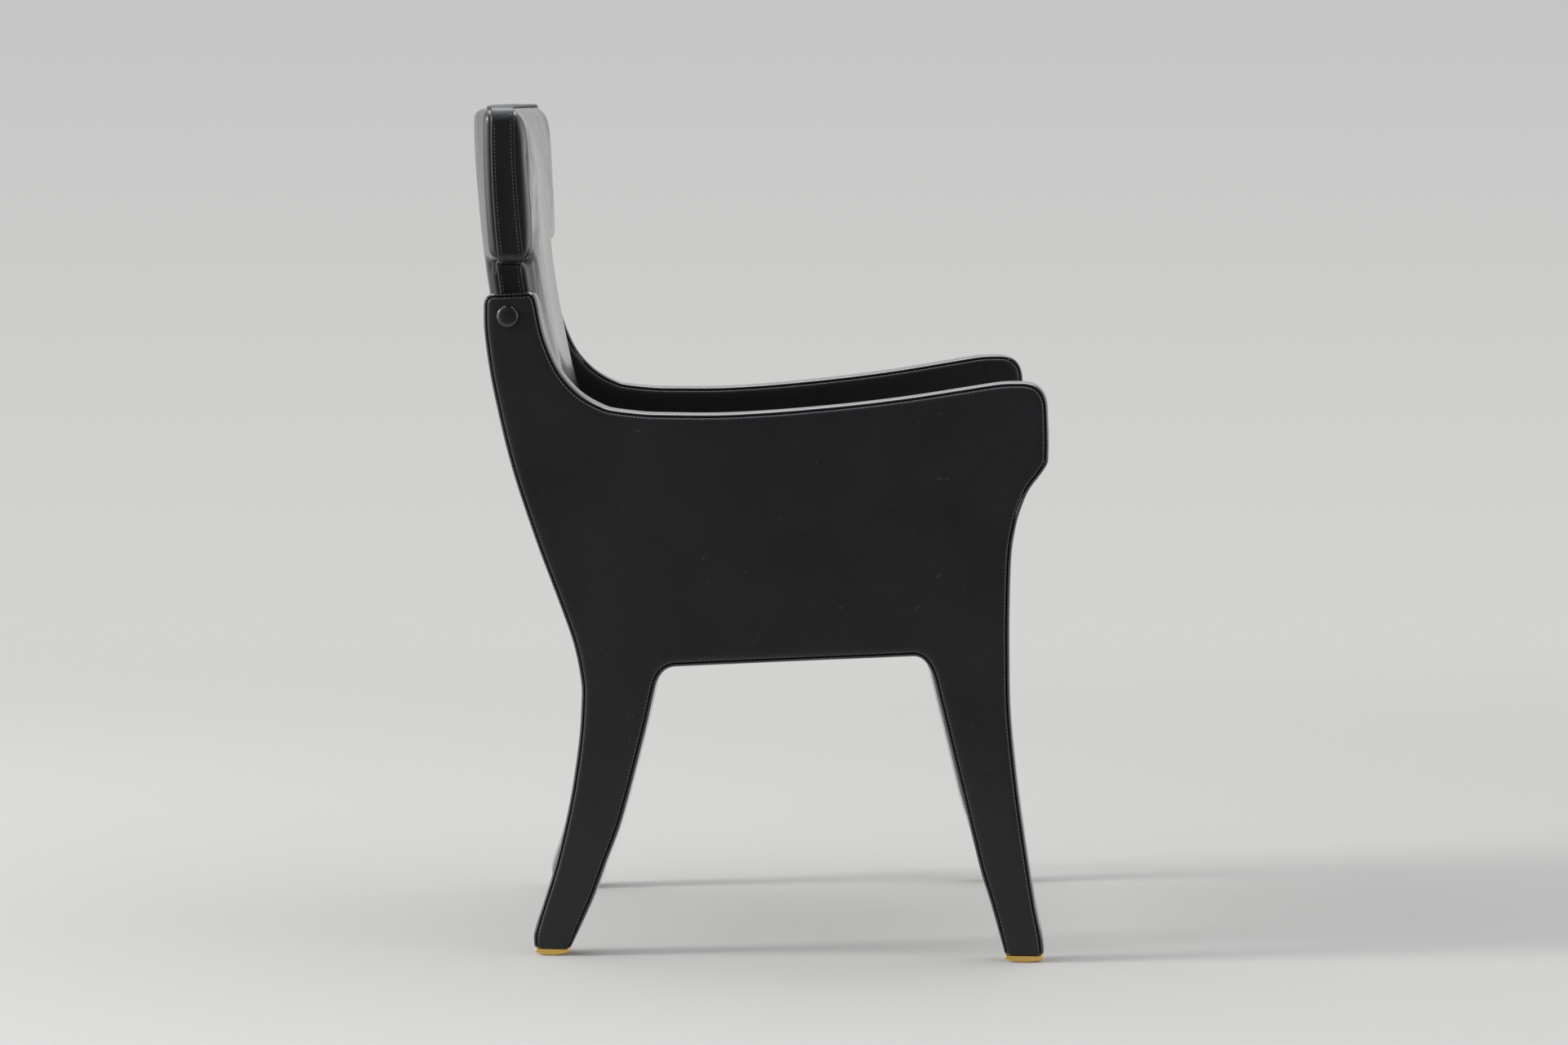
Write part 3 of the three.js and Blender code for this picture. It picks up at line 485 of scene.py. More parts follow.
# %% The panels' stitches
FACE_STITCH = ((5.9, 17.5), (2.9, 24))  # where a stitch sits, and what it stands up towards
EDGE_STITCH = ((1.6, 16.0), (-4, 22))
STITCHES_FROM = (SOLE_HEIGHT + 3) * MM
stitch_pieces = []
for label, side in SIDES.items():
    place = panel_place(side)
    rows = []
    for k, sign in enumerate((1, -1)):
        for (inset, height), (over, high) in (FACE_STITCH, EDGE_STITCH):
            rows.append(loop_row(panel_loop, (inset, sign * height), (over, sign * high), place,
                                 7 * k + int(inset), down_to_sole, STITCHES_FROM))
    stitch_pieces.append(gather(f"side_stitches_{label}", rows))

# %% [markdown]
# ## Where the back stands
# The back is a slab bent twice: once round the sitter, as seen from above, and once along the
# spine, as seen from the side. A point of its flat drawing, across and up, is set on that bent
# surface, and a third number says how far behind the core's middle it lies.

# %% The back's bend
CREST_WIDTH, EAR_BOTTOM, EAR_RISE, BACK_BOTTOM = 640, 802, 5, 404
BACK_HEIGHT = 984
PLAN_RADIUS, PROFILE_RADIUS, PLUMB = 2970, 1280, 963
BUTTON_INSET, CORE_LEAD = 28, 6.5
POST_GAP = 5  # the open gap between the back and either post
BORDER = 3.3  # how far the edge strip stands out past the seams
SEAM = 13.8  # from the core's middle to either seam


def sagitta(radius, offset):
    return radius - math.sqrt(radius ** 2 - offset ** 2)


def back_middle(across, height):
    """How far the core's middle stands in front of the posts' rear edges."""
    at_button = PLUMB - POST_HEIGHT + BUTTON_INSET
    profile = sagitta(PROFILE_RADIUS, PLUMB - height) - sagitta(PROFILE_RADIUS, at_button)
    plan = sagitta(PLAN_RADIUS, across) - sagitta(PLAN_RADIUS, REAR_WIDTH / 2 - PANEL_THICKNESS)
    return BUTTON_INSET + CORE_LEAD + profile + plan


# %% [markdown]
# ## Onto the bent slab
# One function sets any point of the back's flat drawing on the bent surface, and another says how
# much room the panels leave. Bending a finished mesh with a modifier would do for one bend, but
# two at right angles are easier to keep exact this way.

# %% Onto the bent slab
def smooth_between(values, low, high):
    """From 0 at the low value to 1 at the high one, easing in and out."""
    t = np.clip((values - low) / (high - low), 0, 1)
    return t * t * (3 - 2 * t)


def on_back(across, height, behind):
    """A point of the flat drawing on the bent slab. The ears grow a little thicker downwards."""
    ear = smooth_between(abs(across), 215, 265)
    behind *= 1 + 0.055 * ear * np.clip((895 - height) / 85, -1, 1)
    return (across * MM, (POSTS_REAR + behind - back_middle(across, height)) * MM, height * MM)


def inner_half(forward):
    """From the chair's middle to a panel's inner face, this far in front of the posts."""
    return REAR_WIDTH / 2 - PANEL_THICKNESS / math.cos(TOE) + forward * math.tan(TOE)


def back_half(height):
    """Half of the back's width between the posts, up to its seam."""
    return inner_half(back_middle(REAR_WIDTH / 2 - PANEL_THICKNESS, height)) - POST_GAP - BORDER


leads = [round(back_middle(0, height)) for height in (BACK_BOTTOM, BACK_HEIGHT)]
print("the back's core is", leads, "mm in front of the posts' rear edges, at its bottom and top")

# %% [markdown]
# ## The back's outline
# The back is a broad T. Its sides run up between the posts, and above them the crest reaches out
# with an ear over each post. The right half is drawn as four runs, mirrored for the left, and
# joined like the panel. It is drawn at the seams, so the edge strip comes outside it.

# %% The back's outline, inside its edge strip
SMALL_CORNER, UNDER_EAR_CORNER, TOP_CORNER = 8, 10, 20


def back_outline():
    bottom, top = BACK_BOTTOM + BORDER, BACK_HEIGHT - BORDER
    under, ear = EAR_BOTTOM + BORDER, CREST_WIDTH / 2 - BORDER
    heights = np.linspace(bottom + SMALL_CORNER, under - UNDER_EAR_CORNER, 5)
    side = [(back_half(h), h) for h in heights]
    right = [
        side,
        [(side[-1][0] + UNDER_EAR_CORNER, under), (ear - SMALL_CORNER, under + EAR_RISE)],
        [(ear, under + EAR_RISE + SMALL_CORNER), (ear, top - TOP_CORNER)],
        [(ear - TOP_CORNER, top), (TOP_CORNER - ear, top)],
    ]
    left = [[(-x, y) for x, y in reversed(run)] for run in reversed(right[:-1])]
    floor = [(SMALL_CORNER - side[0][0], bottom), (side[0][0] - SMALL_CORNER, bottom)]
    return evenly(joined(right + left + [floor]), RING_STEP)


back_loop = back_outline()
print("back outline of", len(back_loop), "points")

# %% [markdown]
# ## The back's edge strip
# A narrow strip joins the front and rear leather. It is turned in at both seams, and it puckers
# where it has to turn round the crest's corners: short ripples across it, which fade along the
# straight runs. The ripples are a small push on each ring, stronger where the outline bends.

# %% The back's edge strip
BACK_EDGE = [(-0.2, SEAM - 1.1), (-0.9, SEAM - 0.1), (-1.8, SEAM + 0.25), (-2.7, SEAM - 0.2),
             (-3.2, SEAM - 1.3), (-3.3, SEAM - 2.9), (-3.0, 6), (-2.9, 0)]
RIPPLE_DEPTH = 1.5


def bend_of(loop, reach=3):
    """How sharply the loop turns at each point, from 0 on a straight run to 1 on a tight corner."""
    before = unit(loop - np.roll(loop, reach, axis=0))
    after = unit(np.roll(loop, -reach, axis=0) - loop)
    turn = np.abs(before[:, 0] * after[:, 1] - before[:, 1] * after[:, 0])
    turn = np.clip(turn / 0.45, 0, 1)
    for _ in range(6):
        turn = (turn + np.roll(turn, 1) + np.roll(turn, -1)) / 3
    return turn


def rippled(points, loop, rings, depth):
    """Pushes the middle rings of a strip in and out where the outline bends."""
    turn = bend_of(loop)
    out = outward(loop)
    count = len(loop)
    for s in range(rings):
        across = math.sin(math.pi * (s + 0.5) / rings)
        for i in range(count):
            wave = noise.noise(Vector((i * 0.8, s * 0.12, 3.1))) * turn[i] * depth * across
            p = points[s * count + i]
            points[s * count + i] = (p[0] + out[i][0] * wave * MM, p[1], p[2] + out[i][1] * wave * MM)
    return points


section = BACK_EDGE + mirrored(BACK_EDGE[:-1]) + [(-0.2, 1.8 - SEAM), (-0.2, SEAM - 1.8)]
points, faces = band(back_loop, section, on_back)
points = rippled(points, back_loop, 2 * len(BACK_EDGE) - 1, RIPPLE_DEPTH)
back_edge = build("back_edge_leather", points, faces)
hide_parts("back_border")

# %% [markdown]
# ## Padded leather
# The front of the back and the top of the seat are foam under a tight hide: full in the middle and
# pulled down to nothing at the seam. A pad starts as a net of triangles over its outline, with
# rings that follow the seam and an even field inside them. A subdivided face would be simpler, but
# its squares would cut across the seam and show there.

# %% Nets for pads
def net(loop, insets, spacing):
    """Triangles over a loop: flat points, faces, and each point's distance from the seam."""
    edge = [tuple(p) for p in loop]
    inside = []
    for distance in insets:
        ring = moved_in(loop, distance)
        step = max(1, round(distance / 9))
        ring = ring[::step]
        ring = ring[to_outline(ring, loop) > distance * 0.97]
        inside += [tuple(p) for p in ring]
    low, high = loop.min(0), loop.max(0)
    rows = []
    for r, y in enumerate(np.arange(low[1] + spacing, high[1], spacing * 0.866)):
        for x in np.arange(low[0] + spacing * (0.5 if r % 2 else 1), high[0], spacing):
            rows.append((x, y))
    field = np.array(rows)
    field = field[to_outline(field, loop) > insets[-1] + spacing * 0.6]
    inside += [tuple(p) for p in field]
    flat = [Vector(p) for p in edge + inside]
    borders = [(i, (i + 1) % len(edge)) for i in range(len(edge))]
    points, _, faces, *_ = delaunay_2d_cdt(flat, borders, [], 1, 1e-4)
    points = np.array([tuple(p) for p in points])
    return points, [tuple(f) for f in faces], to_outline(points, loop)


# %% [markdown]
# ## Lifting and closing a pad
# Each point of the net is lifted by a quarter of an ellipse, as steep at the seam as a stuffed
# edge is. The hide also dips into its seam: it comes up out of it by TUCK within TUCK_WIDTH. A
# second net below closes the pad, and its seam's points go into a group that the solver holds.

# %% Lifting and closing a pad
TUCK, TUCK_WIDTH = 0.9, 0.8


def tucked(distance):
    return TUCK * np.minimum(distance / TUCK_WIDTH, 1)


def quarter(distance, reach):
    share = np.minimum(distance / reach, 1)
    return np.sqrt(np.maximum(1 - (1 - share) ** 2, 0))


def pad(name, loop, insets, spacing, top, bottom, place):
    """A closed pad between two heights over the loop, each a function of the net's points."""
    points, faces, distance = net(loop, insets, spacing)
    count = len(points)
    upper = [place(x, y, h) for (x, y), h in zip(points, top(points, distance))]
    lower = [place(x, y, h) for (x, y), h in zip(points, bottom(points, distance))]
    uses = {}
    for face in faces:
        for a, b in zip(face, face[1:] + face[:1]):
            uses[(a, b)] = True
    rim = [(a, b) for a, b in uses if (b, a) not in uses]
    all_faces = list(faces) + [tuple(count + k for k in reversed(f)) for f in faces]
    all_faces += [(b, a, count + a, count + b) for a, b in rim]
    piece = build(name, upper + lower, all_faces, 60)
    held = piece.vertex_groups.new(name="seam")
    fixed = np.array(lower)
    by_place = {tuple(np.round(p, 6)) for p in fixed} | {
        tuple(np.round(p, 6)) for p, d in zip(upper, distance) if d < 1.5}
    in_seam = [v.index for v in piece.data.vertices if tuple(np.round(v.co, 6)) in by_place]
    held.add(in_seam, 1, "REPLACE")
    print(name, "held at", len(in_seam), "of", len(piece.data.vertices))
    return piece


# %% [markdown]
# ## Blowing up a pad
# Foam pushes the hide out evenly, and the hide hardly stretches. The cloth solver does that with
# air inside and the seam held fast, which gives the faint unevenness of real foam. It could be
# sculpted too, but not measured. No point may move by more than a few millimetres, so the form
# that was fitted to the photo stays.

# %% Blowing up a pad
CLOTH_FRAMES = 20


def inflate(piece, pressure, most):
    """Cloth with its seam held and air inside, whose points are kept near where they started."""
    start = np.array([v.co for v in piece.data.vertices])
    only(piece)
    cloth = piece.modifiers.new("Cloth", "CLOTH")
    settings = cloth.settings
    settings.quality = 5
    settings.mass = 0.4
    settings.tension_stiffness = settings.compression_stiffness = 12
    settings.shear_stiffness = 8
    settings.bending_stiffness = 2.5
    settings.use_pressure = True
    settings.uniform_pressure_force = pressure
    settings.vertex_group_mass = "seam"
    settings.pin_stiffness = 1
    settings.effector_weights.gravity = 0
    cloth.collision_settings.use_collision = False
    cloth.point_cache.frame_start, cloth.point_cache.frame_end = 1, CLOTH_FRAMES
    for step in range(1, CLOTH_FRAMES + 1):
        bpy.context.scene.frame_set(step)
    bpy.ops.object.modifier_apply(modifier=cloth.name)
    bpy.context.scene.frame_set(1)
    end = np.array([v.co for v in piece.data.vertices])
    move = end - start
    size = np.linalg.norm(move, axis=1, keepdims=True)
    move *= np.minimum(1, most * MM / np.maximum(size, 1e-9))
    piece.data.vertices.foreach_set("co", (start + move).ravel())
    piece.data.update()
    print(piece.name, "moved at most", round(float(size.max()) / MM, 2), "mm, kept within", most)
    return piece


# %% [markdown]
# ## The back's front pad
# One hide from the crest down to the seat. It rises steeply from the seam as a firm roll, then
# slowly to the middle. The crest has a roll of its own, which falls off to the top edge and to the
# undersides of the ears.

# %% The back's front pad
def crest_crown(points):
    """The share of the lift that the crest keeps: less towards its top and the ears' undersides."""
    inwards = np.maximum(back_half(EAR_BOTTOM) - np.abs(points[:, 0]), 0)
    over_ears = (points[:, 1] - EAR_BOTTOM - BORDER) / 75
    under_top = np.maximum(BACK_HEIGHT - BORDER - points[:, 1], 0) / 42
    return quarter(np.minimum(np.hypot(inwards / 9, over_ears), under_top), 1)


def front_lift(points, distance):
    """A firm roll next to the seam, then a slow rise to the middle, more of it in the crest."""
    crest = smooth_between(points[:, 1], EAR_BOTTOM - 15, EAR_BOTTOM + 55)
    roll = (18.5 - 2.5 * crest) * quarter(distance, 13)
    rise = (6.5 + 4 * crest) * smooth_between(distance, 0, 85)
    return (roll + rise) * crest_crown(points)


PAD_INSETS = (0.3, 0.9, 1.9, 3.3, 5, 7.2, 10.5, 15, 21, 29, 37, 46)
front_pad = pad(
    "back_front_pad", back_loop, PAD_INSETS, 8.5,
    lambda p, d: TUCK - SEAM - tucked(d) - front_lift(p, d),
    lambda p, d: np.full(len(p), 2 - SEAM), on_back)
inflate(front_pad, 2.0, 2)
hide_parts("back_front_cover", "back_foam")

# %% [markdown]
# ## The back's rear leather
# A thinner felt lies under it, so it stays closer to the wood and rolls down into its seam. Felt
# doesn't push, so this one isn't blown up: the lifted net is enough.

# %% The back's rear leather
def rear_lift(points, distance):
    across = np.clip(np.abs(points[:, 0]) / 300, 0, 1)
    fullness = 5.5 + 2.2 * smooth_between(points[:, 1], 850, 960)
    return (8.5 + fullness * (1 - across ** 2)) * quarter(distance, 12)


rear_pad = pad(
    "back_rear_leather", back_loop, (0.3, 0.9, 1.9, 3.3, 5, 7.2, 10.5, 15, 22, 30), 9,
    lambda p, d: SEAM - TUCK + tucked(d) + rear_lift(p, d),
    lambda p, d: np.full(len(p), SEAM - 2), on_back)
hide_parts("back_rear_cover", "back_felt")

# %% [markdown]
# ## The back's stitches
# One row on the edge strip along each of its two seams. The same oval follows the outline and
# stands straight out from the strip.

# %% The back's stitches
FROM_SEAM = 4.1
back_rows = [loop_row(back_loop, (-3.12, height), (-20, height), on_back, 41 + k)
             for k, height in enumerate((FROM_SEAM - SEAM, SEAM - FROM_SEAM))]
stitch_pieces.append(gather("back_stitches", back_rows))

# %% [markdown]
# ## The seat
# The seat is a crowned pad with a strip round it, like the back but flatter and softer. The photo
# shows nothing of it, so its outline follows the panels' inner faces and the solid model's depth.

# %% The seat's outline
low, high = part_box("seat_border")
SEAT_REAR = POSTS_REAR - high.y / MM
SEAT_FRONT = POSTS_REAR - low.y / MM
SEAT_GAP, REAR_CORNER, FRONT_CORNER = 1.5, 16, 26


def on_seat(across, forward, height):
    return (across * MM, (POSTS_REAR - forward) * MM, height * MM)


def seat_half(forward, gap):
    """Half of the width between the panels, less a gap on each side."""
    return inner_half(forward) - gap / math.cos(TOE)


def seat_outline():
    gap = SEAT_GAP + BORDER
    rear, front = SEAT_REAR + BORDER, SEAT_FRONT - BORDER
    side = [(seat_half(f, gap), f) for f in (rear + REAR_CORNER, front - FRONT_CORNER)]
    front_end, rear_end = seat_half(front, gap) - FRONT_CORNER, seat_half(rear, gap) - REAR_CORNER
    return evenly(joined([
        side,
        [(front_end, front), (-front_end, front)],
        [(-x, y) for x, y in reversed(side)],
        [(-rear_end, rear), (rear_end, rear)],
    ]), RING_STEP)


seat_loop = seat_outline()
print("seat from", round(SEAT_REAR), "to", round(SEAT_FRONT), "mm in front of the posts' rear edges")

# %% [markdown]
# ## The seat's strip, pad and stitches
# The strip stands 21 mm high round the foam and is turned in at its upper seam and under the foam.
# The pad is softer than the back's, so it is crowned from side to side and blown up a little more.

# %% The seat's strip, pad and stitches
SEAT_SEAM, SEAT_CROWN = 450.6, 20
SEAT_EDGE = [(-0.2, 450.3), (-0.9, 451.5), (-1.8, 452.0), (-2.7, 451.5), (-3.2, 450.3), (-3.3, 448),
             (-3.0, 441), (-3.3, 434), (-3.1, 431.6), (-2.3, 430.5), (-0.2, 430.5)]
points, faces = band(seat_loop, SEAT_EDGE, on_seat)
seat_edge = build("seat_edge_leather", points, faces)
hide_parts("seat_border")
seat_pad = pad(
    "seat_pad", seat_loop, (0.8, 2, 4, 7, 11, 17, 25, 35, 47, 61, 78), 11,
    lambda p, d: SEAT_SEAM + tucked(d) + SEAT_CROWN * quarter(d, 85),
    lambda p, d: np.full(len(p), 439.8), on_seat)
inflate(seat_pad, 3.0, 4)
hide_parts("seat_top_cover", "seat_foam")

seat_row = loop_row(seat_loop, (-3.15, 446.8), (-20, 446.8), on_seat, 51)
stitch_pieces.append(gather("seat_stitches", [seat_row]))

# %% [markdown]
# ## The strip on the front rail
# The front rail shows under the pad's strip, so it is covered with leather that is glued on. It
# starts as a cube of the strip's size, whose edges a bevel rounds.

# %% The front rail's leather
def block(name, low, high, radius, segments=3):
    """A cube between two corners, with its edges rounded."""
    size = [h - l for l, h in zip(low, high)]
    bpy.ops.object.select_all(action="DESELECT")
    bpy.ops.mesh.primitive_cube_add(size=1, location=[(l + h) / 2 for l, h in zip(low, high)])
    piece = bpy.context.object
    piece.name = piece.data.name = name
    piece.scale = size
    settle(piece)
    bevel = piece.modifiers.new("Bevel", "BEVEL")
    bevel.width, bevel.segments, bevel.limit_method = radius, segments, "NONE"
    apply_modifiers(piece)
    clean(piece)
    print(name, [round(s / MM, 1) for s in size], "mm")
    return piece


low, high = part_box("seat_front_strip")
front_strip = block("seat_front_leather", low, high, 1.2 * MM)
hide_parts("seat_front_strip")

# %% [markdown]
# ## The lining
# A black cambric is tacked under the rails and keeps dust in. It is drawn as a grid that tapers
# with the seat and sags a little between the rails, then gets its thickness. The cloth solver
# would give the same sag, but a tacked cloth is nearly flat, so a formula is enough.

# %% The lining
SAG = 2.2
low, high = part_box("seat_lining")
middle_y, depth = (low.y + high.y) / 2, high.y - low.y
bpy.ops.object.select_all(action="DESELECT")
bpy.ops.mesh.primitive_grid_add(x_subdivisions=40, y_subdivisions=32, size=1,
                                location=(0, middle_y, high.z - 0.5 * MM))
lining = bpy.context.object
lining.name = lining.data.name = "seat_lining_cloth"
for v in lining.data.vertices:
    forward = POSTS_REAR - middle_y / MM - v.co.y * depth / MM
    across = 2 * v.co.x * seat_half(forward, 2)
    sag = SAG * max(0, 1 - (2 * v.co.x) ** 4) * max(0, 1 - (2 * v.co.y) ** 4)
    v.co = (across * MM, v.co.y * depth, (-sag + 0.25 * noise.noise(v.co * 14)) * MM)
settle(lining)
solidify = lining.modifiers.new("Solidify", "SOLIDIFY")
solidify.thickness = 0.8 * MM
apply_modifiers(lining)
clean(lining)
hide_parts("seat_lining")
print("lining", len(lining.data.polygons), "faces")

# %% [markdown]
# ## The button over each bolt
# A turned metal shell under a tight disc of leather, slightly domed. Its half section is drawn as
# a row of points and spun round its axis.

# %% The buttons
BUTTON_SECTION = [(0, 6.5), (3, 6.46), (6, 6.3), (8.4, 6.02), (10.2, 5.6), (11.5, 5.0), (12.3, 4.2),
                  (12.7, 3.2), (12.6, 2.1), (12.2, 1.5), (11.6, 1.15), (0, 1.15)]
BUTTON_HEIGHT = POST_HEIGHT - BUTTON_INSET - SOLE_HEIGHT


def spun(name, section, steps=56):
    """A half section of (radius, height) points spun round the Z axis."""
    edges = [(i, i + 1) for i in range(len(section) - 1)]
    piece = from_points(name, [(r * MM, 0, z * MM) for r, z in section], [], edges)
    only(piece)
    bpy.ops.object.mode_set(mode="EDIT")
    bpy.ops.mesh.select_all(action="SELECT")
    bpy.ops.mesh.spin(steps=steps, angle=2 * math.pi, center=(0, 0, 0), axis=(0, 0, 1))
    bpy.ops.object.mode_set(mode="OBJECT")
    clean(piece, 50)
    return piece


buttons = []
for label, side in SIDES.items():
    button = spun(f"back_button_{label}", BUTTON_SECTION)
    flip = Matrix.Identity(4) if side < 0 else Matrix.Rotation(math.pi, 4, "X")
    spot = Matrix.Translation((BUTTON_INSET * MM, BUTTON_HEIGHT * MM, -side * HALF * MM))
    button.data.transform(panel_matrix(side) @ spot @ flip)
    clean(button, 50)
    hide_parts(f"back_bolt_cap_{label}")
    buttons.append(button)
print(len(buttons), "buttons of", len(buttons[0].data.polygons), "faces")

# %% [markdown]
# ## The brass shoes
# A cast plate with a flat top and a belly, like half a lens, screwed under each sole with a shadow
# gap. Its side profile is drawn as a loop, pulled across the leg and given small rounded edges.

# %% The shoes
SHOE_HEIGHT, SHOE_END, SHOE_SHOULDER, GAP_HEIGHT = 7.5, 2.2, 2.2, 1.3
SHOE_INSET, GAP_INSET = 1, 4  # from the leg's edge to the plate's, and from there to the gap's
SHOE_SPANS = {"rear": (0.0865, 0.1505, REAR_SOLE), "front": (0.9275, 0.999, FRONT_SOLE + 1.8)}


def shoe(label, end, side):
    """The plate and, on top of it, the smaller pad that holds it off the sole."""
    share_from, share_to, middle = SHOE_SPANS[end]
    half = (share_to - share_from) * PANEL_DEPTH / 2 - SHOE_INSET
    top = -GAP_HEIGHT
    belly = [(half * math.sin(t), top - SHOE_END - (SHOE_HEIGHT - SHOE_END) * max(math.cos(t), 0) ** 1.1)
             for t in np.linspace(-math.pi / 2, math.pi / 2, 25)]
    profile = [(half - SHOE_SHOULDER, top), (SHOE_SHOULDER - half, top)] + belly
    wide = HALF - SHOE_INSET
    points = [((x + middle) * MM, y * MM, z * MM) for z in (-wide, wide) for x, y in profile]
    count = len(profile)
    faces = [tuple(range(count))[::-1], tuple(range(count, 2 * count))]
    faces += [(i, (i + 1) % count, count + (i + 1) % count, count + i) for i in range(count)]
    piece = build(f"shoe_{end}_{label}", points, faces)
    bevel = piece.modifiers.new("Bevel", "BEVEL")
    bevel.width, bevel.segments, bevel.angle_limit = 0.7 * MM, 3, math.radians(40)
    apply_modifiers(piece)
    lowest = ((middle - half + GAP_INSET) * MM, (top - 0.5) * MM, -(wide - GAP_INSET) * MM)
    highest = ((middle + half - GAP_INSET) * MM, (top + 1) * MM, (wide - GAP_INSET) * MM)
    pad_top = block(f"shoe_pad_{end}_{label}", lowest, highest, 0.2 * MM, 2)
    only(piece)
    pad_top.select_set(True)
    bpy.ops.object.join()
    piece.data.transform(panel_matrix(side))
    clean(piece)
    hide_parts(f"foot_plate_{end}_{label}")
    return piece


shoes = [shoe(label, end, side) for label, side in SIDES.items() for end in ("rear", "front")]

# %% [markdown]
# ## The zip's pull
# A loop of polished black wire that hangs from the end of the zip, under the near ear. On the real
# chair it hangs a little behind the seam, so it is set 7 mm further back than in the solid model.

# %% The zip's pull
PULL_BACK, WIRE_RADIUS = 7 * MM, 0.65 * MM
low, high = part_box("back_zip_pull")
middle = (low + high) / 2
middle.y += PULL_BACK
curve = bpy.data.curves.new("back_pull", "CURVE")
curve.dimensions = "3D"
curve.bevel_depth, curve.bevel_resolution = WIRE_RADIUS, 3
half_wide, drop = (high.y - low.y) / 2 - WIRE_RADIUS, high.z - low.z
loop = [(1, 0.5), (1, 0.1), (0.95, -0.2), (0.6, -0.4), (0, -0.46),
        (-0.6, -0.4), (-0.95, -0.2), (-1, 0.1), (-1, 0.5)]
line = curve.splines.new("NURBS")
line.points.add(len(loop) - 1)
for point, (aside, down) in zip(line.points, loop):
    point.co = (middle.x, middle.y + half_wide * aside, middle.z + down * drop, 1)
line.use_endpoint_u, line.order_u, line.resolution_u = True, 3, 8
curve.use_fill_caps = True
pull = bpy.data.objects.new("back_pull", curve)
bpy.context.scene.collection.objects.link(pull)
only(pull)
bpy.ops.object.convert(target="MESH")
pull = bpy.context.object
clean(pull, 60)
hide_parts("back_zip_pull")
print("back_pull", len(pull.data.polygons), "faces")

# %% [markdown]
# ## Materials
# Colours are written as the sRGB values one would pick by eye, and one function turns them into
# the linear values that the renderer wants. Another small function adds a node with its settings
# and links. Every pattern is laid out in the object's own metres, so a scale of 1000 repeats about
# once in a millimetre.

# %% Helpers for materials
def linear(code):
    parts = [int(code[i:i + 2], 16) / 255 for i in (1, 3, 5)]
    return [c / 12.92 if c <= 0.04045 else ((c + 0.055) / 1.055) ** 2.4 for c in parts] + [1]


def add(material, kind, settings=None, values=None, links=None):
    """Adds a node. values sets its inputs, and links joins inputs to other nodes' outputs."""
    node = material.node_tree.nodes.new(kind)
    for name, value in (settings or {}).items():
        setattr(node, name, value)
    for name, value in (values or {}).items():
        node.inputs[name].default_value = value
    for name, source in (links or {}).items():
        material.node_tree.links.new(source, node.inputs[name])
    return node


def new_material(name):
    material = bpy.data.materials.new(name)
    material.use_nodes = True
    material.node_tree.nodes.clear()
    place = add(material, "ShaderNodeTexCoord").outputs["Object"]
    return material, place


def finish_material(material, shader):
    add(material, "ShaderNodeOutputMaterial", links={"Surface": shader.outputs["BSDF"]})
    return material


def dress(material, *pieces):
    for piece in pieces:
        piece.data.materials.clear()
        piece.data.materials.append(material)


# %% [markdown]
# ## Leather
# Vegetable-tanned cowhide, dyed black and waxed. Its grain is a net of fine creases about 1 mm
# apart. It is drawn at 1.6 mm here, as coarse as it needs to be to show. The wax lies unevenly,
# so the gloss drifts over hand-sized patches, and a few pale scuffs cross it. A photographed
# texture would need unwrapping and would repeat on the big panels, so all of it is noise.
#
# The scuffs come first: noise gives a thin line where it passes through its middle value.

# %% Scuffs in the wax
def scuffs(material, place, fine):
    """Thin lines along a warped noise's middle value, only where the fine noise is high."""
    warp = add(material, "ShaderNodeTexNoise", values={"Scale": 26, "Detail": 2}, links={"Vector": place})
    bent = add(material, "ShaderNodeVectorMath", {"operation": "MULTIPLY_ADD"},
               {1: (0.06, 0.06, 0.06)}, {0: warp.outputs["Color"], 2: place})
    wave = add(material, "ShaderNodeTexNoise", values={"Scale": 34, "Detail": 1, "Roughness": 0.4},
               links={"Vector": bent.outputs["Vector"]})
    line = add(material, "ShaderNodeMath", {"operation": "SUBTRACT"}, {1: 0.5}, {0: wave.outputs["Fac"]})
    line = add(material, "ShaderNodeMath", {"operation": "ABSOLUTE"}, links={0: line.outputs[0]})
    thin = add(material, "ShaderNodeMapRange",
               values={"From Min": 0, "From Max": 0.004, "To Min": 1, "To Max": 0},
               links={"Value": line.outputs[0]})
    where = add(material, "ShaderNodeMapRange",
                values={"From Min": 0.6, "From Max": 0.7, "To Min": 0, "To Max": 1},
                links={"Value": fine.outputs["Fac"]})
    return add(material, "ShaderNodeMath", {"operation": "MULTIPLY"},
               links={0: thin.outputs["Result"], 1: where.outputs["Result"]})


# %% [markdown]
# ## The hide's colour and relief
# The dye took a little less on worn patches, which are a shade lighter, and a scuff shows the grey
# of the hide halfway through it. The relief is the net of creases, shallow and sharp, over a slow
# swell. Both are bumps, because a crease is finer than the meshes and never breaks an outline.

# %% The hide's colour and relief
CREASE_STEP, CREASE_DEPTH, SWELL_DEPTH = 1.6 * MM, 0.12 * MM, 0.5 * MM
SCUFF_GREY = linear("#77736d")


def hide_colour(material, patches, scuff, dyed, worn):
    tone = add(material, "ShaderNodeMapRange",
               values={"From Min": 0.3, "From Max": 0.7, "To Min": 0, "To Max": 1},
               links={"Value": patches.outputs["Fac"]})
    base = add(material, "ShaderNodeMix", {"data_type": "RGBA"},
               {6: linear(dyed), 7: linear(worn)}, {0: tone.outputs["Result"]})
    half = add(material, "ShaderNodeMath", {"operation": "MULTIPLY"}, {1: 0.5}, {0: scuff.outputs[0]})
    return add(material, "ShaderNodeMix", {"data_type": "RGBA"},
               {7: SCUFF_GREY}, {0: half.outputs[0], 6: base.outputs[2]})


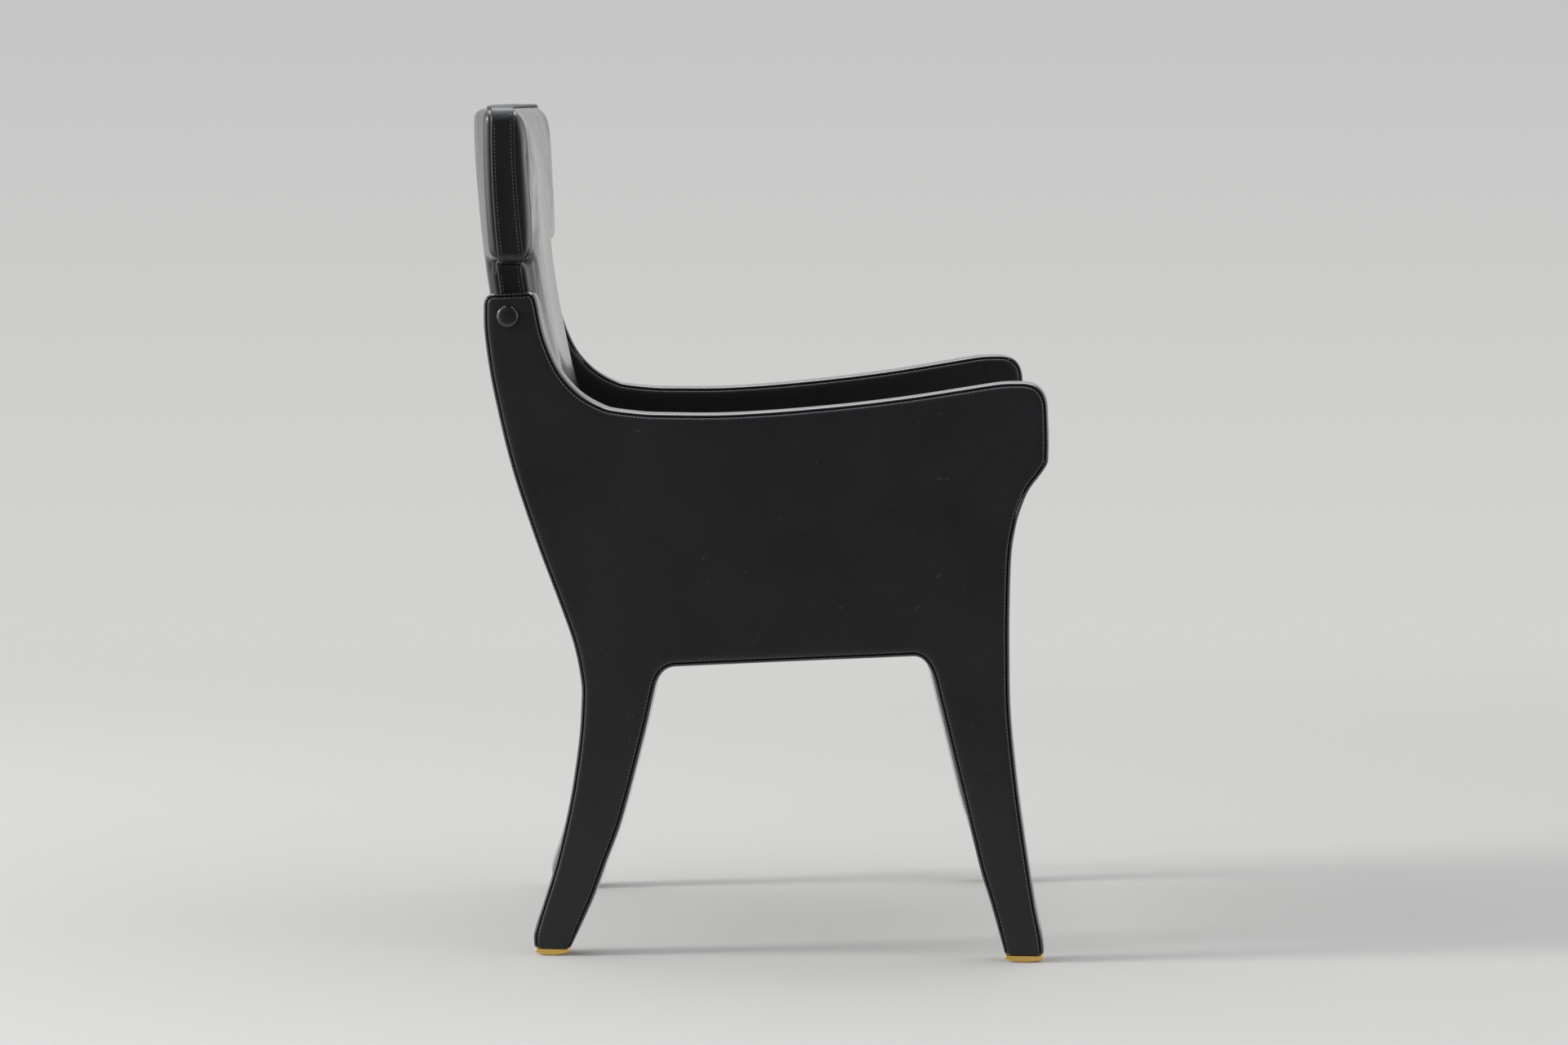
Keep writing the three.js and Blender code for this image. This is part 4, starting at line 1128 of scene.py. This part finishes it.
def hide_relief(material, place, fine, grain):
    creases = add(material, "ShaderNodeTexVoronoi", {"feature": "DISTANCE_TO_EDGE"},
                  {"Scale": 1 / CREASE_STEP}, {"Vector": place})
    groove = add(material, "ShaderNodeMapRange",
                 values={"From Min": 0, "From Max": 0.22, "To Min": 0, "To Max": 1},
                 links={"Value": creases.outputs["Distance"]})
    bump = add(material, "ShaderNodeBump", values={"Strength": grain, "Distance": CREASE_DEPTH},
               links={"Height": groove.outputs["Result"]})
    return add(material, "ShaderNodeBump", values={"Strength": 0.34 * grain, "Distance": SWELL_DEPTH},
               links={"Height": fine.outputs["Fac"], "Normal": bump.outputs["Normal"]})


# %% [markdown]
# ## Five hides
# All five come from one dyed hide and differ in their finish. The wax is a clear coat over the
# leather, so each hide has its own roughness and the coat's sharper sheen on top.

# %% Five hides
def leather(name, dyed, worn, roughness, grain, gloss, coat, coat_roughness):
    material, place = new_material(name)
    patches = add(material, "ShaderNodeTexNoise", values={"Scale": 9, "Detail": 4, "Roughness": 0.6},
                  links={"Vector": place})
    fine = add(material, "ShaderNodeTexNoise", values={"Scale": 70, "Detail": 3, "Roughness": 0.6},
               links={"Vector": place})
    colour = hide_colour(material, patches, scuffs(material, place, fine), dyed, worn)
    relief = hide_relief(material, place, fine, grain)
    rough = add(material, "ShaderNodeMapRange",
                values={"From Min": 0.25, "From Max": 0.75,
                        "To Min": roughness - 0.05, "To Max": roughness + 0.07},
                links={"Value": patches.outputs["Fac"]})
    shader = add(material, "ShaderNodeBsdfPrincipled",
                 values={"IOR": 1.5, "Specular IOR Level": gloss, "Coat Weight": coat,
                         "Coat Roughness": coat_roughness},
                 links={"Base Color": colour.outputs[2], "Roughness": rough.outputs["Result"],
                        "Normal": relief.outputs["Normal"]})
    return finish_material(material, shader)


# The flat faces are only waxed: deep black with a broad, soft sheen.
waxed_hide = leather("waxed_black_cowhide", "#0e0e11", "#151518", 0.44, 0.5, 0.35, 0.25, 0.2)
# The front of the back is polished and stretched, so it mirrors the pale paper in long streaks.
polished_hide = leather("polished_black_cowhide", "#111113", "#161618", 0.22, 0.25, 0.5, 0.7, 0.09)
# The rear of the back is handled less and shines softly.
rear_hide = leather("rear_black_cowhide", "#0f0f11", "#141416", 0.3, 0.3, 0.4, 0.35, 0.12)
# The strip round the back is gathered, so its wax is broken up and its highlights are dull.
edge_hide = leather("gathered_edge_cowhide", "#0f0f11", "#151518", 0.36, 0.35, 0.4, 0.2, 0.18)
# The other strips are burnished along their length: a thin bright line on every roll.
strip_hide = leather("burnished_strip_cowhide", "#0f0f11", "#151518", 0.26, 0.35, 0.4, 0.9, 0.09)
print("crease step", CREASE_STEP / MM, "mm, crease depth", CREASE_DEPTH / MM, "mm")

# %% [markdown]
# ## Thread, metal, wood, cloth and nylon
# Each is simple next to the leather, but none is a flat colour. One function serves them all: two
# tones over a noise that is stretched along the grain, with relief and gloss from the same noise.

# %% Other materials
GLOSS_DRIFT = 0.08


def simple(name, colour, other, scale, stretch, roughness, metallic=0, bump_mm=0.05):
    """A colour that drifts between two tones over a stretched noise, with a matching fine relief."""
    material, place = new_material(name)
    mapping = add(material, "ShaderNodeMapping", values={"Scale": stretch}, links={"Vector": place})
    pattern = add(material, "ShaderNodeTexNoise", values={"Scale": scale, "Detail": 4, "Roughness": 0.6},
                  links={"Vector": mapping.outputs["Vector"]})
    tone = add(material, "ShaderNodeMix", {"data_type": "RGBA"},
               {6: linear(colour), 7: linear(other)}, {0: pattern.outputs["Fac"]})
    rough = add(material, "ShaderNodeMapRange",
                values={"To Min": roughness - GLOSS_DRIFT, "To Max": roughness + GLOSS_DRIFT},
                links={"Value": pattern.outputs["Fac"]})
    bump = add(material, "ShaderNodeBump", values={"Strength": 0.5, "Distance": bump_mm * MM},
               links={"Height": pattern.outputs["Fac"]})
    shader = add(material, "ShaderNodeBsdfPrincipled", values={"Metallic": metallic},
                 links={"Base Color": tone.outputs[2], "Roughness": rough.outputs["Result"],
                        "Normal": bump.outputs["Normal"]})
    return finish_material(material, shader)


# Waxed thread is twisted and a shade lighter than the hide, so a seam reads as a row of dots.
waxed_thread = simple("waxed_grey_thread", "#4c4c51", "#6c6c72", 900, (1, 1, 1), 0.4)
# Cast brass is brushed across the foot, which spreads its warm glint.
cast_brass = simple("brushed_cast_brass", "#d8ae58", "#ecc879", 160, (1, 6, 6), 0.25,
                    metallic=1, bump_mm=0.03)
# Zinc plate is a cool grey with a soft, slightly cloudy shine.
zinc_steel = simple("zinc_plated_steel", "#8f9296", "#a9acaf", 300, (1, 1, 4), 0.35, metallic=1)
# Birch plywood is left raw: pale and dull, with faint brown bands.
birch_ply = simple("birch_plywood", "#c9a676", "#b48f60", 22, (1, 1, 9), 0.62)
# Steamed beech is pinkish brown and dull, with flecks drawn out along the grain.
steamed_beech = simple("steamed_beech", "#c2946a", "#a97a50", 30, (1, 7, 9), 0.58)
# The seat's rails show from behind and below, so they are stained: brown-black, grain still there.
stained_beech = simple("black_stained_beech", "#1c1815", "#26201b", 30, (1, 7, 9), 0.5)
# Moulded nylon is a flat dark grey with the mould's faint texture.
black_nylon = simple("moulded_black_nylon", "#1b1b1b", "#262626", 500, (1, 1, 1), 0.55)
# Cambric is a thin matt cloth, and its weave gives it a dusty look.
black_cambric = simple("black_cambric", "#121212", "#242424", 1400, (1, 1, 1), 0.9)
# Blackened wire is polished, so the small loop catches a few bright points.
black_wire = simple("blackened_wire", "#55555a", "#6a6a70", 400, (1, 1, 1), 0.22, metallic=1)

# %% [markdown]
# ## Which piece is made of what
# The new pieces are dressed one by one. The solids that stay, such as cores, rails and bolts, get
# a material by what their names say they are.

# %% Materials on the pieces
for pieces in panel_pieces.values():
    dress(waxed_hide, pieces["outer"], pieces["inner"])
    dress(strip_hide, pieces["edge"])
dress(polished_hide, front_pad)
dress(rear_hide, rear_pad)
dress(edge_hide, back_edge)
dress(strip_hide, seat_edge, front_strip, *buttons)
dress(waxed_hide, seat_pad)
dress(waxed_thread, *stitch_pieces)
dress(cast_brass, *shoes)
dress(black_cambric, lining)
dress(black_wire, pull)
for name, node in nodes.items():
    if "core" in name or name == "seat_deck":
        dress(birch_ply, node)
    elif "rail" in name:
        dress(stained_beech, node)
    elif "block" in name or "dowel" in name:
        dress(steamed_beech, node)
    elif "insert" in name:
        dress(cast_brass, node)
    elif "glide" in name or "spacer" in name:
        dress(black_nylon, node)
    elif "bolt" in name or "screw" in name:
        dress(zinc_steel, node)
print(len(bpy.data.materials), "materials")

# %% [markdown]
# ## Riding on the frame
# The chair is one rigid body, so every new piece rides on it.

# %% Ride on the body
made = [front_pad, rear_pad, back_edge, seat_pad, seat_edge, front_strip, lining, pull]
made += buttons + shoes + stitch_pieces + [p for pieces in panel_pieces.values() for p in pieces.values()]
for piece in made:
    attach(piece, "root")
print(len(made), "new pieces")

# %% [markdown]
# ## The studio
# A pale paper sweep: a floor that turns up into a wall far behind the chair. The far paper is lit
# evenly in the photo, from grey at the top to almost white below. So what the camera and glossy
# surfaces see there is that colour itself, while near the chair the paper takes light and shadow.

# %% Floor and backdrop
def paper(name, floor, low_wall, high_wall):
    material, place = new_material(name)
    shader = add(material, "ShaderNodeBsdfPrincipled",
                 values={"Base Color": linear(floor), "Roughness": 0.9, "Specular IOR Level": 0.2})
    axes = add(material, "ShaderNodeSeparateXYZ", links={"Vector": place})
    height = add(material, "ShaderNodeMapRange", values={"From Min": -0.1, "From Max": 1.2},
                 links={"Value": axes.outputs["Z"]})
    glow = add(material, "ShaderNodeMix", {"data_type": "RGBA"},
               {6: linear(low_wall), 7: linear(high_wall)}, {0: height.outputs["Result"]})
    wall = add(material, "ShaderNodeEmission", links={"Color": glow.outputs[2]})
    far = add(material, "ShaderNodeMapRange", {"interpolation_type": "SMOOTHSTEP"},
              {"From Min": 1.0, "From Max": 3.0}, {"Value": axes.outputs["X"]})
    rays = add(material, "ShaderNodeLightPath")
    seen = add(material, "ShaderNodeMath", {"operation": "MAXIMUM"},
               links={0: rays.outputs["Is Camera Ray"], 1: rays.outputs["Is Glossy Ray"]})
    seen = add(material, "ShaderNodeMath", {"operation": "MAXIMUM"},
               links={0: seen.outputs[0], 1: rays.outputs["Is Transmission Ray"]})
    share = add(material, "ShaderNodeMath", {"operation": "MULTIPLY"},
                links={0: far.outputs["Result"], 1: seen.outputs[0]})
    mixed = add(material, "ShaderNodeMixShader",
                links={0: share.outputs[0], 1: shader.outputs["BSDF"], 2: wall.outputs["Emission"]})
    add(material, "ShaderNodeOutputMaterial", links={"Surface": mixed.outputs["Shader"]})
    return material


SWEEP_FROM, SWEEP_CURVE, SWEEP_RADIUS, SWEEP_TOP, SWEEP_HALF_WIDTH = -1.7, 3.2, 2.4, 7, 9  # metres
sweep_profile = [(SWEEP_FROM, 0)]
for t in np.linspace(0, math.pi / 2, 24):
    back_by, up_by = SWEEP_RADIUS * math.sin(t), SWEEP_RADIUS - SWEEP_RADIUS * math.cos(t)
    sweep_profile.append((SWEEP_CURVE + back_by, up_by))
sweep_profile.append((SWEEP_CURVE + SWEEP_RADIUS, SWEEP_TOP))
sweep_points = [(x, y, z) for y in (-SWEEP_HALF_WIDTH, SWEEP_HALF_WIDTH) for x, z in sweep_profile]
count = len(sweep_profile)
sweep_faces = [(i, i + 1, count + i + 1, count + i) for i in range(count - 1)]
sweep = from_points("paper_sweep", sweep_points, sweep_faces)
only(sweep)
bpy.ops.object.shade_smooth()
dress(paper("matt_grey_paper", "#d6d4d1", "#d5d4d2", "#c5c5c5"), sweep)
print("paper sweep of", len(sweep_faces), "faces")

# %% [markdown]
# ## The lamp
# One lamp stands far off to the left of the picture and throws the long soft shadows to the right.
# An area lamp of the size of a window is used, because its size is what makes the shadows' edges
# soft.

# %% The lamp
def lamp(name, place, aim, size, watts):
    data = bpy.data.lights.new(name, "AREA")
    data.shape, data.size, data.size_y, data.energy = "RECTANGLE", size, size, watts
    light = bpy.data.objects.new(name, data)
    light.location = place
    light.rotation_euler = (Vector(aim) - Vector(place)).to_track_quat("-Z", "Y").to_euler()
    bpy.context.scene.collection.objects.link(light)
    return light


window = lamp("window", (-1.3, 8.0, 4.4), (0, 0, 0.3), 1.8, 400)
print("lamp", round(window.location.length, 1), "m away")

# %% [markdown]
# ## The room's light
# The rest comes from the room, so the world is its light: dark behind the camera, brightest low
# down, and a little brighter on the left than on the right. Three ranges over the direction are
# multiplied. A picture of a real studio would do it too, but not from this photo alone.

# %% The room's light
world = bpy.data.worlds.new("studio")
bpy.context.scene.world = world
world.use_nodes = True
background = world.node_tree.nodes["Background"]
direction = add(world, "ShaderNodeTexCoord").outputs["Generated"]
axes = add(world, "ShaderNodeSeparateXYZ", links={"Vector": direction})
ahead = add(world, "ShaderNodeMapRange", {"interpolation_type": "SMOOTHSTEP"},
            {"From Min": -1.0, "From Max": -0.1, "To Min": 0.05, "To Max": 1}, {"Value": axes.outputs["X"]})
upwards = add(world, "ShaderNodeMapRange",
              values={"From Min": 0, "From Max": 1, "To Min": 2.6, "To Max": 0.62},
              links={"Value": axes.outputs["Z"]})
leftwards = add(world, "ShaderNodeMapRange",
                values={"From Min": -1, "From Max": 1, "To Min": 0.88, "To Max": 1.12},
                links={"Value": axes.outputs["Y"]})
room = add(world, "ShaderNodeMath", {"operation": "MULTIPLY"},
           links={0: ahead.outputs["Result"], 1: upwards.outputs["Result"]})
room = add(world, "ShaderNodeMath", {"operation": "MULTIPLY"},
           links={0: room.outputs[0], 1: leftwards.outputs["Result"]})

# %% [markdown]
# ## The diffuser overhead
# The rolled edges of the leather shine along their length, so something bright hangs over the
# chair. It is a patch of sky near the zenith that only glossy rays see: it shows as a reflection,
# sharp in the burnished strips and faint in the dull leather, and the floor stays even.

# %% The diffuser overhead
OVERHEAD = (0.3, 0, 0.954)
toward_it = add(world, "ShaderNodeVectorMath", {"operation": "DOT_PRODUCT"}, {1: OVERHEAD}, {0: direction})
diffuser = add(world, "ShaderNodeMapRange", {"interpolation_type": "SMOOTHSTEP"},
               {"From Min": 0.8, "From Max": 0.95, "To Min": 0, "To Max": 5.5},
               {"Value": toward_it.outputs["Value"]})
rays = add(world, "ShaderNodeLightPath")
glint = add(world, "ShaderNodeMath", {"operation": "MULTIPLY"},
            links={0: diffuser.outputs["Result"], 1: rays.outputs["Is Glossy Ray"]})
strength = add(world, "ShaderNodeMath", {"operation": "ADD"}, links={0: room.outputs[0], 1: glint.outputs[0]})
background.inputs["Color"].default_value = linear("#f7fafd")
world.node_tree.links.new(strength.outputs[0], background.inputs["Strength"])
bpy.context.scene.view_settings.view_transform = "Standard"
print(len(world.node_tree.nodes), "nodes in the world")
